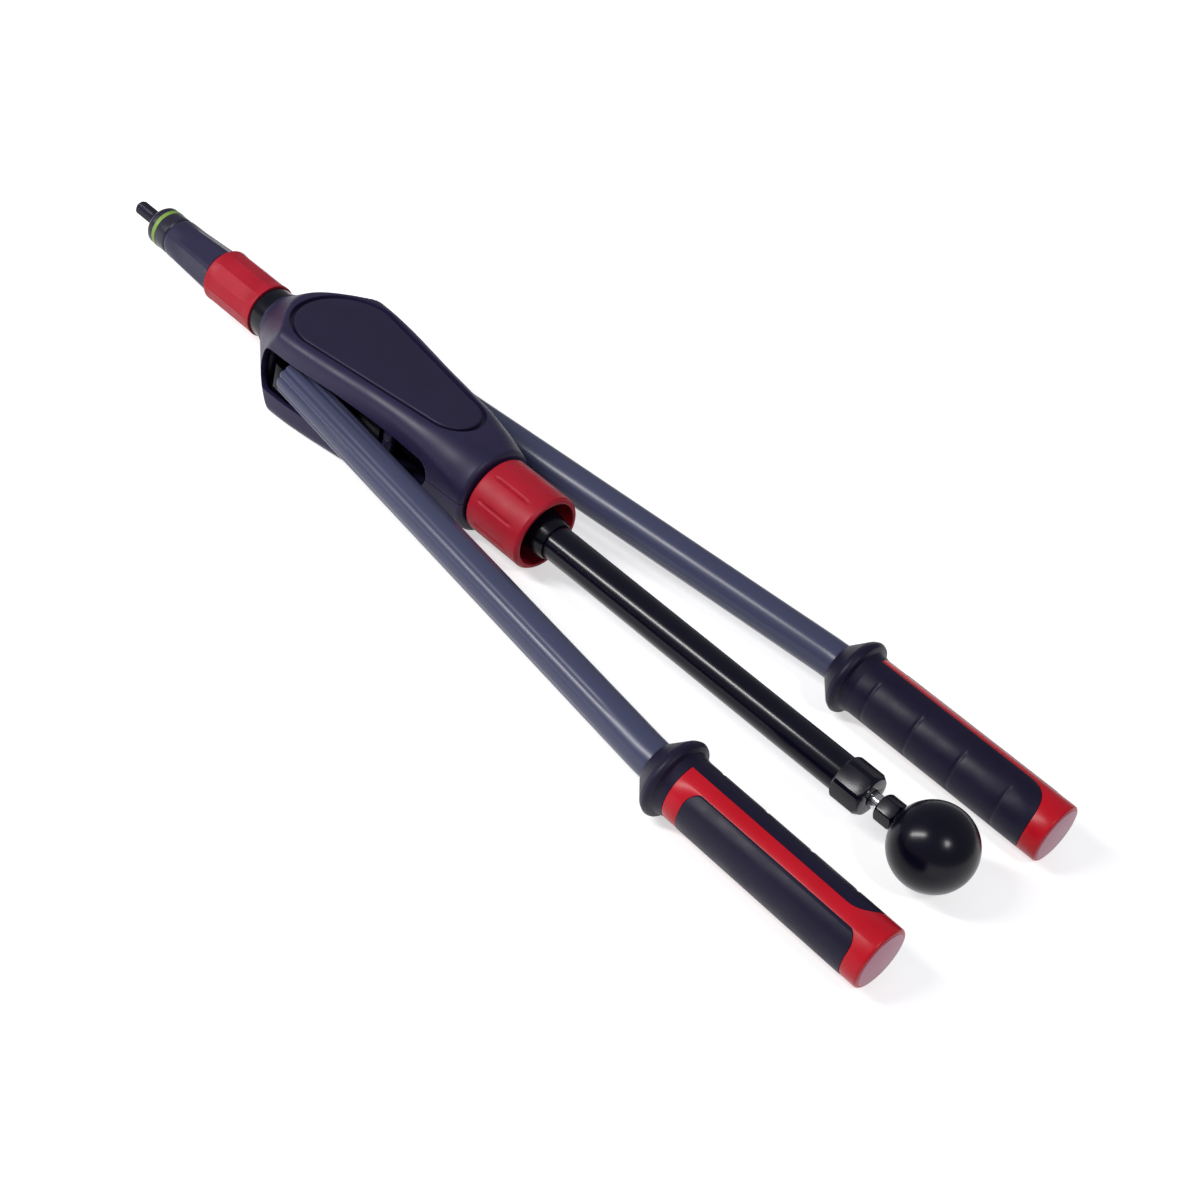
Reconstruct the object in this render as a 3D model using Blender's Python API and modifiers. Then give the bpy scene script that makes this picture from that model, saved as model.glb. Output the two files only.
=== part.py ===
"""Long-arm rivet nut tool with two handles, a quick-change nose and a push-pull spiral spindle.

Two tube arms pivot on pins in the housing. Toothed levers on the arms mesh with a rack sleeve that carries
the nose, so squeezing the arms pushes the nose forward over the threaded mandrel. A ball knob on a spiral
rod slides out of the rear tube and spins the mandrel.

The tool axis runs along X with the nose towards -X. Stations along it are measured from the line through
the two arm pivots. The object stands on Z = 0, centred under its box.
"""
import math

import bmesh
import bpy
from mathutils import Matrix, Vector

MM = 0.001
LEFT = -1
RIGHT = 1

# Clearances
SEAT_GAP = 0.3 * MM
RUN_GAP = 0.3 * MM
TOOTH_BACKLASH = 0.5 * MM

# Housing
HOUSING_FRONT = -36.0 * MM
HOUSING_REAR = 129.0 * MM
HOUSING_HALF_WIDTH = 34.6 * MM
HOUSING_HALF_HEIGHT = 24.4 * MM
HOUSING_MOUTH_RADIUS = 15.5 * MM
HOUSING_TAIL_RADIUS = 22.5 * MM
HOUSING_EDGE_RADIUS = 6.0 * MM
SHELL_WALL = 2.6 * MM
PARTING_GAP = 0.3 * MM
HOLLOW_FRONT = -20.7 * MM
REAR_WALL = 8.0 * MM
SLOT_FRONT = -7.0 * MM
SLOT_TAPER_START = 42.0 * MM
SLOT_END_CENTRE = 92.0 * MM
SLOT_HALF_HEIGHT = 12.0 * MM
SLOT_END_RADIUS = 8.0 * MM
SLOT_DEPTH_FROM_AXIS = 15.0 * MM
PANEL_FRONT = -13.5 * MM
PANEL_REAR = 107.0 * MM
PANEL_HALF_WIDTH = 27.0 * MM
PANEL_TAIL_HALF_WIDTH = 14.5 * MM
PANEL_DEPTH = 1.5 * MM
PANEL_GROOVE = 0.9 * MM
FRAME_RIB_STATION = 20.0 * MM
FRAME_RIB_THICKNESS = 2.4 * MM
FRAME_RIB_HALF_LENGTH = 18.0 * MM

# Shell screws and their posts
POST_RADIUS = 3.2 * MM
SHELL_SCREW_RADIUS = 1.4 * MM
SHELL_SCREW_HEAD_RADIUS = 2.7 * MM
SHELL_SCREW_HEAD_HEIGHT = 1.8 * MM
SHELL_SCREW_REACH = 9.0 * MM

# Frame plates, core block and barrel
PLATE_THICKNESS = 4.0 * MM
PLATE_INNER_HEIGHT = 11.3 * MM
PLATE_EAR_RADIUS = 10.0 * MM
BLOCK_FRONT = 44.0 * MM
BLOCK_REAR = 62.0 * MM
BLOCK_HALF_WIDTH = 16.0 * MM
BLOCK_SCREW_STATION = 53.0 * MM
BLOCK_SCREW_SIDE = 12.5 * MM
BLOCK_SCREW_RADIUS = 2.0 * MM
BLOCK_SCREW_LENGTH = 8.0 * MM
BLOCK_SCREW_HEAD_RADIUS = 3.5 * MM
BLOCK_SCREW_HEAD_HEIGHT = 2.0 * MM
BARREL_RADIUS = 14.0 * MM
BARREL_BORE = 8.9 * MM
BARREL_STEP = 152.0 * MM
THRUST_WALL_FRONT = 155.5 * MM
THRUST_WALL = 4.0 * MM
BOSS_RADIUS = 11.6 * MM
BOSS_REAR = 172.0 * MM

# Arm pivots and toothed levers
PIVOT_SIDE = 19.0 * MM
PIN_RADIUS = 4.0 * MM
PIN_HEAD_RADIUS = 6.5 * MM
PIN_HEAD_HEIGHT = 2.0 * MM
BUSH_WALL = 1.2 * MM
HUB_RADIUS = 7.8 * MM
PITCH_RADIUS = 10.0 * MM
FULL_CIRCLE_TEETH = 10
PRESSURE_ANGLE = math.radians(25.0)
TOOTH_ADDENDUM = 1.6 * MM
TOOTH_DEDENDUM = 1.9 * MM
SECTOR_HALF_HEIGHT = 7.8 * MM
SECTOR_TOOTH_STEPS = (-0.5, 0.5, 1.5)
LEVER_HALF_HEIGHT = 6.6 * MM
SHANK_RADIUS = 7.0 * MM
SHANK_LENGTH = 38.0 * MM
SPRING_PIN_RADIUS = 2.0 * MM
SPRING_PIN_STATION = 19.0 * MM

# Arm tubes
ARM_ANGLE = math.radians(6.87)
ARM_OFFSET = 7.7 * MM
ARM_TUBE_RADIUS = 9.42 * MM
ARM_TUBE_WALL = 2.0 * MM
ARM_TUBE_START = 10.8 * MM
FLANGE_STATION = 314.2 * MM
ARM_BEND = math.radians(6.51)
ARM_BEND_LENGTH = 15.0 * MM
ARM_BEND_SETBACK = 5.5 * MM
CREASE_DEPTH = 1.3 * MM
CREASE_LENGTH = 70.0 * MM
CREASE_HALF_WIDTH = math.radians(16.0)

# Grips
GRIP_LENGTH = 116.5 * MM
GRIP_RADIUS = 14.95 * MM
GRIP_FLANGE_RADIUS = 19.5 * MM
GRIP_FLANGE_THICKNESS = 6.0 * MM
GRIP_NECK_LENGTH = 7.0 * MM
GRIP_NECK_RADIUS = 10.9 * MM
GRIP_BAND_START = 7.5 * MM
GRIP_BAND_WIDTH = 8.0 * MM
GRIP_END_CAP = 9.0 * MM
GRIP_COVER_THICKNESS = 2.6 * MM
GRIP_PAD_ANGLE = math.radians(61.0)
GRIP_FIRST_GROOVE = 15.5 * MM
GRIP_GROOVE_PITCH = 25.2 * MM
GRIP_GROOVE_DEPTH = 0.7 * MM
GRIP_GROOVE_HALF_WIDTH = 1.2 * MM

# Nose and rack sleeve
NECK_RADIUS = 13.9 * MM
NECK_SHOWN = 7.3 * MM
NECK_REAR = -22.0 * MM
RACK_REAR = 34.5 * MM
RACK_HALF_HEIGHT = 7.8 * MM
RACK_BORE = 5.6 * MM
RACK_TOOTH_STEPS = (-2, -1, 0, 1)
FRONT_BUSH_FRONT = -28.0 * MM
FRONT_BUSH_LENGTH = 7.0 * MM
FRONT_BUSH_WALL = 2.0 * MM
LOCK_RING_LENGTH = 38.6 * MM
LOCK_RING_RADIUS = 14.75 * MM
LOCK_RING_BEVEL = 2.0 * MM
LOCK_RING_FLAT_COUNT = 12
LOCK_RING_FLAT_DEPTH = 0.4 * MM
HOLDER_RADIUS = 11.5 * MM
HOLDER_THREAD_RADIUS = 9.9 * MM
HOLDER_THREAD_LENGTH = 12.0 * MM
HOLDER_WEB_LENGTH = 6.0 * MM
NOSE_SLEEVE_REAR_RADIUS = 13.0 * MM
NOSE_SLEEVE_FRONT_RADIUS = 10.8 * MM
NOSE_SLEEVE_LENGTH = 38.5 * MM
NOSE_SLEEVE_SHANK_RADIUS = 9.3 * MM
NOSE_SLEEVE_SHANK_LENGTH = 19.0 * MM
NOSE_SLEEVE_BORE = 7.6 * MM
NOSE_SLEEVE_FLATS = 6
NOSEPIECE_LENGTH = 15.0 * MM
NOSEPIECE_RADIUS = 10.6 * MM
NOSEPIECE_FACE_RADIUS = 9.5 * MM
NOSEPIECE_BORE = 4.4 * MM
NOSEPIECE_SHANK_RADIUS = 8.2 * MM
NOSEPIECE_SHANK_LENGTH = 10.0 * MM
SIZE_RING_SETBACK = 4.6 * MM
SIZE_RING_WIDTH = 2.8 * MM
SIZE_RING_DEPTH = 0.9 * MM
SIZE_RING_RADIUS = 10.8 * MM

# Mandrel, chuck and spindle
MANDREL_RADIUS = 3.95 * MM
MANDREL_SHOWN = 20.0 * MM
MANDREL_TIP_BEVEL = 1.0 * MM
MANDREL_BODY_RADIUS = 5.5 * MM
MANDREL_BODY_FRONT = -102.0 * MM
MANDREL_BODY_LENGTH = 15.0 * MM
CHUCK_RADIUS = 7.2 * MM
CHUCK_FRONT = -95.0 * MM
CHUCK_REAR = -66.0 * MM
SPIGOT_RADIUS = 4.0 * MM
SPIGOT_LENGTH = 9.0 * MM
SPINDLE_RADIUS = 5.2 * MM
THRUST_FLANGE_RADIUS = 8.5 * MM
THRUST_FLANGE_THICKNESS = 2.0 * MM
THRUST_WASHER_THICKNESS = 1.5 * MM
SPINDLE_STEP = 171.0 * MM
SPINDLE_TUBE_RADIUS = 5.6 * MM
SPINDLE_TUBE_BORE = 4.35 * MM
SPINDLE_TUBE_REAR = 342.0 * MM
DRIVE_NUT_RADIUS = 7.0 * MM
DRIVE_NUT_FRONT = 337.0 * MM
DRIVE_NUT_LENGTH = 15.6 * MM
DRIVE_NUT_BORE = 4.05 * MM

# Centre tube, rod and knob
CENTRE_TUBE_RADIUS = 8.8 * MM
CENTRE_TUBE_WALL = 1.5 * MM
CENTRE_TUBE_REAR = 357.0 * MM
COLLAR_FRONT = 353.2 * MM
COLLAR_LENGTH = 15.6 * MM
COLLAR_FLAT = 9.75 * MM
COLLAR_ROUND = 10.5 * MM
ROD_RADIUS = 3.7 * MM
ROD_GROOVE_RADIUS = 2.7 * MM
ROD_FRONT = 232.0 * MM
ROD_SPIRAL_REAR = 366.0 * MM
ROD_LEAD = 30.0 * MM
ROD_IN_BALL = 11.0 * MM
KNOB_RADIUS = 20.0 * MM
KNOB_CENTRE = 403.0 * MM
KNOB_FLAT_RADIUS = 6.5 * MM
ROD_NUT_FLAT = 6.0 * MM
ROD_NUT_LENGTH = 9.5 * MM

# Stroke adjuster
STOP_SLEEVE_FRONT = 41.6 * MM
STOP_SLEEVE_REAR = 143.0 * MM
STOP_SLEEVE_RADIUS = 8.6 * MM
STOP_SLEEVE_BORE = 6.4 * MM
STOP_LUG_STATION = 135.0 * MM
STOP_LUG_LENGTH = 4.0 * MM
STOP_LUG_WIDTH = 5.6 * MM
STOP_LUG_RADIUS = 16.0 * MM
STOP_TRAVEL = 5.0 * MM
ADJUSTER_FRONT = 130.4 * MM
ADJUSTER_LENGTH = 35.3 * MM
ADJUSTER_RADIUS = 19.8 * MM
ADJUSTER_RIM_BORE = 16.9 * MM
ADJUSTER_HUB_REAR = 149.0 * MM
ADJUSTER_GROOVE_COUNT = 9
ADJUSTER_GROOVE_DEPTH = 0.7 * MM
ADJUSTER_GROOVE_HALF_WIDTH = 0.9 * MM
CLIP_THICKNESS = 1.2 * MM
CLIP_RADIUS = 15.8 * MM
CLIP_SEAT_RADIUS = 13.0 * MM

# Values that follow from the ones above
LOCK_RING_REAR = HOUSING_FRONT - NECK_SHOWN
LOCK_RING_FRONT = LOCK_RING_REAR - LOCK_RING_LENGTH
NECK_FRONT = LOCK_RING_REAR + SEAT_GAP
NOSE_SLEEVE_REAR = LOCK_RING_FRONT - SEAT_GAP
NOSE_SLEEVE_FRONT = NOSE_SLEEVE_REAR - NOSE_SLEEVE_LENGTH
NOSEPIECE_REAR = NOSE_SLEEVE_FRONT - SEAT_GAP
NOSE_FACE = NOSEPIECE_REAR - NOSEPIECE_LENGTH
MANDREL_TIP = NOSE_FACE - MANDREL_SHOWN
FLANGE_FRONT = THRUST_WALL_FRONT + THRUST_WALL + THRUST_WASHER_THICKNESS + 2 * SEAT_GAP
CENTRE_TUBE_FRONT = FLANGE_FRONT + THRUST_FLANGE_THICKNESS + 2 * RUN_GAP
ARM_DROOP = math.asin((HOUSING_HALF_HEIGHT - GRIP_FLANGE_RADIUS) / FLANGE_STATION)
PLATE_OUTER_HEIGHT = PLATE_INNER_HEIGHT + PLATE_THICKNESS
FRONT_POST = (-13.5 * MM, HOUSING_HALF_WIDTH - 12.6 * MM, 6.2 * MM)
MIDDLE_POST = (72.0 * MM, BARREL_RADIUS + POST_RADIUS + 0.4 * MM, 3.0 * MM)
REAR_POST = (108.0 * MM, BARREL_RADIUS + POST_RADIUS, 3.6 * MM)
SHOULDER_RISE = HOUSING_HALF_WIDTH - HOUSING_MOUTH_RADIUS
BLOCK_HALF_HEIGHT = PLATE_INNER_HEIGHT - SEAT_GAP
HUB_HALF_HEIGHT = PLATE_INNER_HEIGHT - RUN_GAP
ROD_NUT_REAR = KNOB_CENTRE - math.sqrt(KNOB_RADIUS ** 2 - KNOB_FLAT_RADIUS ** 2) - SEAT_GAP


# Materials
def material(name, colour, roughness, metallic=0.0):
    """A Principled material with one colour, roughness and metallic value."""
    made = bpy.data.materials.new(name)
    made.use_nodes = True
    shader = made.node_tree.nodes["Principled BSDF"]
    shader.inputs["Base Color"].default_value = (*colour, 1.0)
    shader.inputs["Roughness"].default_value = roughness
    shader.inputs["Metallic"].default_value = metallic
    made.diffuse_color = (*colour, 1.0)
    return made


# Scene setup
def clear_scene():
    for old in list(bpy.data.objects):
        bpy.data.objects.remove(old)


def collection(name):
    made = bpy.data.collections.new(name)
    bpy.context.scene.collection.children.link(made)
    return made


def empty(name, parent=None, location=(0.0, 0.0, 0.0), rotation=(0.0, 0.0, 0.0)):
    """A guide that carries the pieces of one moving group."""
    made = bpy.data.objects.new(name, None)
    PARTS.objects.link(made)
    made.parent = parent
    made.location = location
    made.rotation_euler = rotation
    made.empty_display_size = 0.01
    return made


def place(name, mesh, parent, location=(0.0, 0.0, 0.0), rotation=(0.0, 0.0, 0.0), finish=None):
    """Put a mesh in the scene, as a piece if it has a finish and as a cutter if not."""
    made = bpy.data.objects.new(name, mesh)
    made.parent = parent
    made.location = location
    made.rotation_euler = rotation
    if finish is None:
        CUTTERS.objects.link(made)
        made.hide_render = True
        made.display_type = "WIRE"
    else:
        PARTS.objects.link(made)
        mesh.materials.append(finish)
    return made


# Modelling helpers
def combine(piece, tool, operation="DIFFERENCE", solver="EXACT"):
    """Cut a piece with a tool, or join the tool to it."""
    step = piece.modifiers.new(operation.title() + " " + tool.name, "BOOLEAN")
    step.operation = operation
    step.object = tool
    step.solver = solver
    return piece


def turned(name, outline, parent, finish=None, steps=24, hollow=True, along="X", place_at=(0.0, 0.0, 0.0)):
    """A turned shape from (station, radius) points, front to rear outside and back along the bore.

    Along X the stations run rearwards. Along Z they are heights and the outline runs from the top down.
    """
    down = -1.0 if along == "X" else 1.0
    mesh = bpy.data.meshes.new(name)
    points = [(radius, 0.0, down * station) for station, radius in outline]
    edges = [(i, i + 1) for i in range(len(points) - 1)]
    if hollow:
        edges.append((len(points) - 1, 0))
    edges = [(i, j) for i, j in edges if points[i][0] > 0.0 or points[j][0] > 0.0]
    mesh.from_pydata(points, edges, [])
    turn = (0.0, -math.pi / 2, 0.0) if along == "X" else (0.0, 0.0, 0.0)
    made = place(name, mesh, parent, place_at, turn, finish)
    screw = made.modifiers.new("Turn", "SCREW")
    screw.axis = "Z"
    screw.angle = math.tau
    screw.steps = steps
    screw.render_steps = steps
    screw.use_merge_vertices = True
    screw.merge_threshold = 0.00001
    weld = made.modifiers.new("Close", "WELD")
    weld.merge_threshold = 0.00001
    return made


def tube_outline(front, rear, radius, bore):
    return [(front, radius), (rear, radius), (rear, bore), (front, bore)]


def rod_outline(front, rear, radius):
    return [(front, 0.0), (front, radius), (rear, radius), (rear, 0.0)]


def flat_mesh(name, outlines, thickness):
    """A mesh from flat closed outlines, where inner outlines are holes, as thick as given about Z = 0."""
    curve = bpy.data.curves.new(name, "CURVE")
    curve.dimensions = "2D"
    curve.fill_mode = "BOTH"
    curve.extrude = thickness / 2
    for outline in outlines:
        spline = curve.splines.new("POLY")
        spline.points.add(len(outline) - 1)
        for point, (u, v) in zip(spline.points, outline):
            point.co = (u, v, 0.0, 1.0)
        spline.use_cyclic_u = True
    guide = bpy.data.objects.new(name, curve)
    CUTTERS.objects.link(guide)
    shape = guide.evaluated_get(bpy.context.evaluated_depsgraph_get())
    mesh = bpy.data.meshes.new_from_object(shape)
    bpy.data.objects.remove(guide)
    form = bmesh.new()
    form.from_mesh(mesh)
    bmesh.ops.remove_doubles(form, verts=form.verts, dist=0.000001)
    bmesh.ops.dissolve_limit(form, angle_limit=0.001, verts=form.verts, edges=form.edges)
    bmesh.ops.recalc_face_normals(form, faces=form.faces)
    form.to_mesh(mesh)
    form.free()
    mesh.materials.clear()
    return mesh


def flat(name, outlines, thickness, parent, location=(0.0, 0.0, 0.0), rotation=(0.0, 0.0, 0.0), finish=None):
    return place(name, flat_mesh(name, outlines, thickness), parent, location, rotation, finish)


def block(name, low, high, parent, finish=None):
    """A box between two corners."""
    form = bmesh.new()
    bmesh.ops.create_cube(form, size=1.0)
    size = [b - a for a, b in zip(low, high)]
    middle = [(a + b) / 2 for a, b in zip(low, high)]
    bmesh.ops.scale(form, vec=size, verts=form.verts)
    bmesh.ops.translate(form, vec=middle, verts=form.verts)
    mesh = bpy.data.meshes.new(name)
    form.to_mesh(mesh)
    form.free()
    return place(name, mesh, parent, finish=finish)


def loft(name, rings, parent, finish=None, closed_ends=True):
    """Skin a row of rings that all have the same number of points."""
    form = bmesh.new()
    rows = [[form.verts.new(point) for point in ring] for ring in rings]
    count = len(rows[0])
    for row, following in zip(rows, rows[1:]):
        for i in range(count):
            j = (i + 1) % count
            form.faces.new((row[i], row[j], following[j], following[i]))
    if closed_ends:
        form.faces.new(rows[0])
        form.faces.new(rows[-1])
    bmesh.ops.recalc_face_normals(form, faces=form.faces)
    mesh = bpy.data.meshes.new(name)
    form.to_mesh(mesh)
    form.free()
    mesh.shade_smooth()
    mesh.set_sharp_from_angle(angle=math.radians(35.0))
    return place(name, mesh, parent, finish=finish)


def arc(centre, radius, start, end, steps):
    """Points along an arc, with the angles in degrees."""
    points = []
    for i in range(steps + 1):
        angle = math.radians(start + (end - start) * i / steps)
        points.append((centre[0] + radius * math.cos(angle), centre[1] + radius * math.sin(angle)))
    return points


def polygon(sides, flat_radius):
    """A regular outline with its flats at the given distance, one of them upwards."""
    corner = flat_radius / math.cos(math.pi / sides)
    angles = [math.pi / 2 + math.pi / sides + math.tau * i / sides for i in range(sides)]
    return [(corner * math.cos(angle), corner * math.sin(angle)) for angle in angles]


def blend(table, x):
    """Read a table of (station, value) pairs, joined by smooth steps."""
    if x <= table[0][0]:
        return table[0][1]
    for (x0, v0), (x1, v1) in zip(table, table[1:]):
        if x <= x1:
            share = (x - x0) / (x1 - x0)
            return v0 + (v1 - v0) * share
    return table[-1][1]


# Housing form
def housing_section(x, inset=0.0):
    """A rounded rectangle across the housing at one station, drawn inwards by the inset."""
    half_width = blend(HOUSING_WIDTHS, x) - inset
    half_height = blend(HOUSING_HEIGHTS, x) - inset
    corner = max(blend(HOUSING_CORNERS, x) - inset, 2.0 * MM)
    corner = min(corner, half_width - 2 * PARTING_GAP, half_height - 2 * PARTING_GAP)
    ring = []
    for quarter in range(4):
        start = 90.0 * quarter
        side = 1.0 if quarter in (0, 3) else -1.0
        rise = 1.0 if quarter in (0, 1) else -1.0
        centre = (side * (half_width - corner), rise * (half_height - corner))
        for y, z in arc(centre, corner, start, start + 90.0, 4):
            ring.append((x, y, z))
    return ring


def spread(values, span):
    """Stations given as shares of a span, as real stations."""
    return [(span[0] + share * (span[1] - span[0]), value) for share, value in values]


HOUSING_SPAN = (HOUSING_FRONT, HOUSING_REAR)
HOUSING_WIDTHS = spread((
    (0.0, HOUSING_MOUTH_RADIUS), (0.045, HOUSING_MOUTH_RADIUS + 0.215 * SHOULDER_RISE),
    (0.085, HOUSING_MOUTH_RADIUS + 0.424 * SHOULDER_RISE), (0.127, HOUSING_MOUTH_RADIUS + 0.634 * SHOULDER_RISE),
    (0.165, HOUSING_MOUTH_RADIUS + 0.822 * SHOULDER_RISE), (0.205, HOUSING_MOUTH_RADIUS + 0.958 * SHOULDER_RISE),
    (0.24, HOUSING_HALF_WIDTH), (0.30, HOUSING_HALF_WIDTH - 0.4 * MM), (0.39, HOUSING_HALF_WIDTH - 2.2 * MM),
    (0.50, HOUSING_HALF_WIDTH - 5.0 * MM), (0.60, HOUSING_HALF_WIDTH - 7.8 * MM),
    (0.70, HOUSING_TAIL_RADIUS + 2.4 * MM), (0.82, HOUSING_TAIL_RADIUS + 1.1 * MM),
    (0.93, HOUSING_TAIL_RADIUS + 0.4 * MM), (1.0, HOUSING_TAIL_RADIUS - 1.5 * MM)), HOUSING_SPAN)
HOUSING_HEIGHTS = spread((
    (0.0, HOUSING_MOUTH_RADIUS), (0.045, HOUSING_HALF_HEIGHT - 5.0 * MM),
    (0.085, HOUSING_HALF_HEIGHT - 1.8 * MM), (0.127, HOUSING_HALF_HEIGHT - 0.5 * MM),
    (0.165, HOUSING_HALF_HEIGHT), (0.82, HOUSING_HALF_HEIGHT), (0.93, HOUSING_HALF_HEIGHT - MM),
    (1.0, HOUSING_TAIL_RADIUS - 1.5 * MM)), HOUSING_SPAN)
HOUSING_CORNERS = spread((
    (0.0, HOUSING_MOUTH_RADIUS), (0.045, 16.0 * MM), (0.085, 14.5 * MM), (0.127, 13.0 * MM),
    (0.165, 10.5 * MM), (0.205, 8.0 * MM), (0.24, HOUSING_EDGE_RADIUS), (0.70, HOUSING_EDGE_RADIUS),
    (0.82, 8.5 * MM), (0.93, 14.0 * MM), (1.0, HOUSING_TAIL_RADIUS - 1.5 * MM)), HOUSING_SPAN)


def housing_stations(front, rear):
    """The housing's own stations between two ends, and the ends."""
    inner = [x for x, _ in HOUSING_WIDTHS if front + MM < x < rear - MM]
    return [front] + inner + [rear]


def panel_outline(grow=0.0):
    """The teardrop of the top panel: broad and round in front, tapering to a round tail."""
    front_centre = PANEL_FRONT + PANEL_HALF_WIDTH
    tail_centre = PANEL_REAR - PANEL_TAIL_HALF_WIDTH
    front = arc((front_centre, 0.0), PANEL_HALF_WIDTH + grow, 90.0, 270.0, 24)
    tail = arc((tail_centre, 0.0), PANEL_TAIL_HALF_WIDTH + grow, -82.0, 82.0, 14)
    return front + tail


def slot_outline():
    """The side opening for an arm in the X-Z plane: tall in front, narrowing to a round end."""
    front = [(SLOT_FRONT, SLOT_HALF_HEIGHT - 2.0 * MM), (SLOT_FRONT, -SLOT_HALF_HEIGHT + 2.0 * MM),
             (SLOT_FRONT + 2.0 * MM, -SLOT_HALF_HEIGHT), (SLOT_TAPER_START, -SLOT_HALF_HEIGHT)]
    tail = arc((SLOT_END_CENTRE, 0.0), SLOT_END_RADIUS, -86.0, 86.0, 10)
    return front + tail + [(SLOT_TAPER_START, SLOT_HALF_HEIGHT), (SLOT_FRONT + 2.0 * MM, SLOT_HALF_HEIGHT)]


def post_places():
    """Station, side and head recess of each shell screw, front to rear."""
    places = []
    for station, side, recess in (FRONT_POST, MIDDLE_POST, REAR_POST):
        places += [(station, side * LEFT, recess), (station, side * RIGHT, recess)]
    return places


def shell_half(name, up, finish):
    """One moulded half of the housing; up is 1 for the upper half and -1 for the lower."""
    outer = [housing_section(x) for x in housing_stations(*HOUSING_SPAN)]
    piece = loft(name, outer, AXIS, finish)
    hollow_rear = HOUSING_REAR - REAR_WALL
    inner = [housing_section(x, SHELL_WALL) for x in housing_stations(HOLLOW_FRONT, hollow_rear)]
    hollow = loft(name + "_hollow", inner, AXIS)
    leave_ribs(hollow, up)
    leave_posts(hollow)
    combine(piece, hollow)
    mouth = NECK_RADIUS + RUN_GAP
    pocket = mouth + FRONT_BUSH_WALL + SEAT_GAP
    pocket_front = FRONT_BUSH_FRONT - SEAT_GAP
    bore = [(HOUSING_FRONT - MM, 0.0), (HOUSING_FRONT - MM, mouth), (pocket_front, mouth),
            (pocket_front, pocket), (HOLLOW_FRONT + MM, pocket), (HOLLOW_FRONT + MM, 0.0)]
    combine(piece, turned(name + "_mouth", bore, AXIS, hollow=False))
    tail = rod_outline(hollow_rear - MM, HOUSING_REAR + MM, BARREL_RADIUS + SEAT_GAP)
    combine(piece, turned(name + "_tail_bore", tail, AXIS, hollow=False))
    for side, word in ((LEFT, "left"), (RIGHT, "right")):
        depth = 2 * HOUSING_HALF_WIDTH
        middle = side * (SLOT_DEPTH_FROM_AXIS + depth / 2)
        slot = flat(name + "_" + word + "_slot", [slot_outline()], depth, AXIS, (0.0, middle, 0.0),
                    (math.pi / 2, 0.0, 0.0))
        leave_posts(slot)
        combine(piece, slot)
    far = 0.1
    low, high = sorted((-up * far, up * PARTING_GAP / 2))
    combine(piece, block(name + "_parting", (-far * 2, -far, low), (far * 2, far, high), AXIS))
    drill_posts(piece)
    return piece


def leave_ribs(hollow, up):
    """Leave cross ribs under the shell's wall that bear on the frame plate."""
    foot = PLATE_OUTER_HEIGHT + SEAT_GAP
    for number, station in enumerate((FRAME_RIB_STATION, FRAME_RIB_STATION + 20.0 * MM)):
        low, high = sorted((up * foot, up * HOUSING_HALF_HEIGHT))
        rib = block(hollow.name + "_rib_%d" % (number + 1), (station, -FRAME_RIB_HALF_LENGTH, low),
                    (station + FRAME_RIB_THICKNESS, FRAME_RIB_HALF_LENGTH, high), AXIS)
        combine(hollow, rib)


def leave_posts(hollow):
    """Leave the screw posts standing when a hollow is cut out of a shell."""
    for number, (station, side, _) in enumerate(post_places()):
        post = turned(hollow.name + "_post_%d" % (number + 1), rod_outline_z(HOUSING_HALF_HEIGHT, POST_RADIUS),
                      AXIS, hollow=False, along="Z", steps=12, place_at=(station, side, 0.0))
        combine(hollow, post)


def drill_posts(piece):
    """Drill the screw holes and sink the heads from below."""
    for number, (station, side, recess) in enumerate(post_places()):
        shank = SHELL_SCREW_RADIUS + SEAT_GAP
        head = SHELL_SCREW_HEAD_RADIUS + SEAT_GAP
        seat = -HOUSING_HALF_HEIGHT + recess + SHELL_SCREW_HEAD_HEIGHT
        hole = [(SHELL_SCREW_REACH + MM, 0.0), (SHELL_SCREW_REACH + MM, shank), (seat, shank),
                (seat, head), (-HOUSING_HALF_HEIGHT - MM, head), (-HOUSING_HALF_HEIGHT - MM, 0.0)]
        cutter = turned(piece.name + "_screw_hole_%d" % (number + 1), hole, AXIS, hollow=False, along="Z",
                        steps=8, place_at=(station, side, 0.0))
        combine(piece, cutter)


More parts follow.
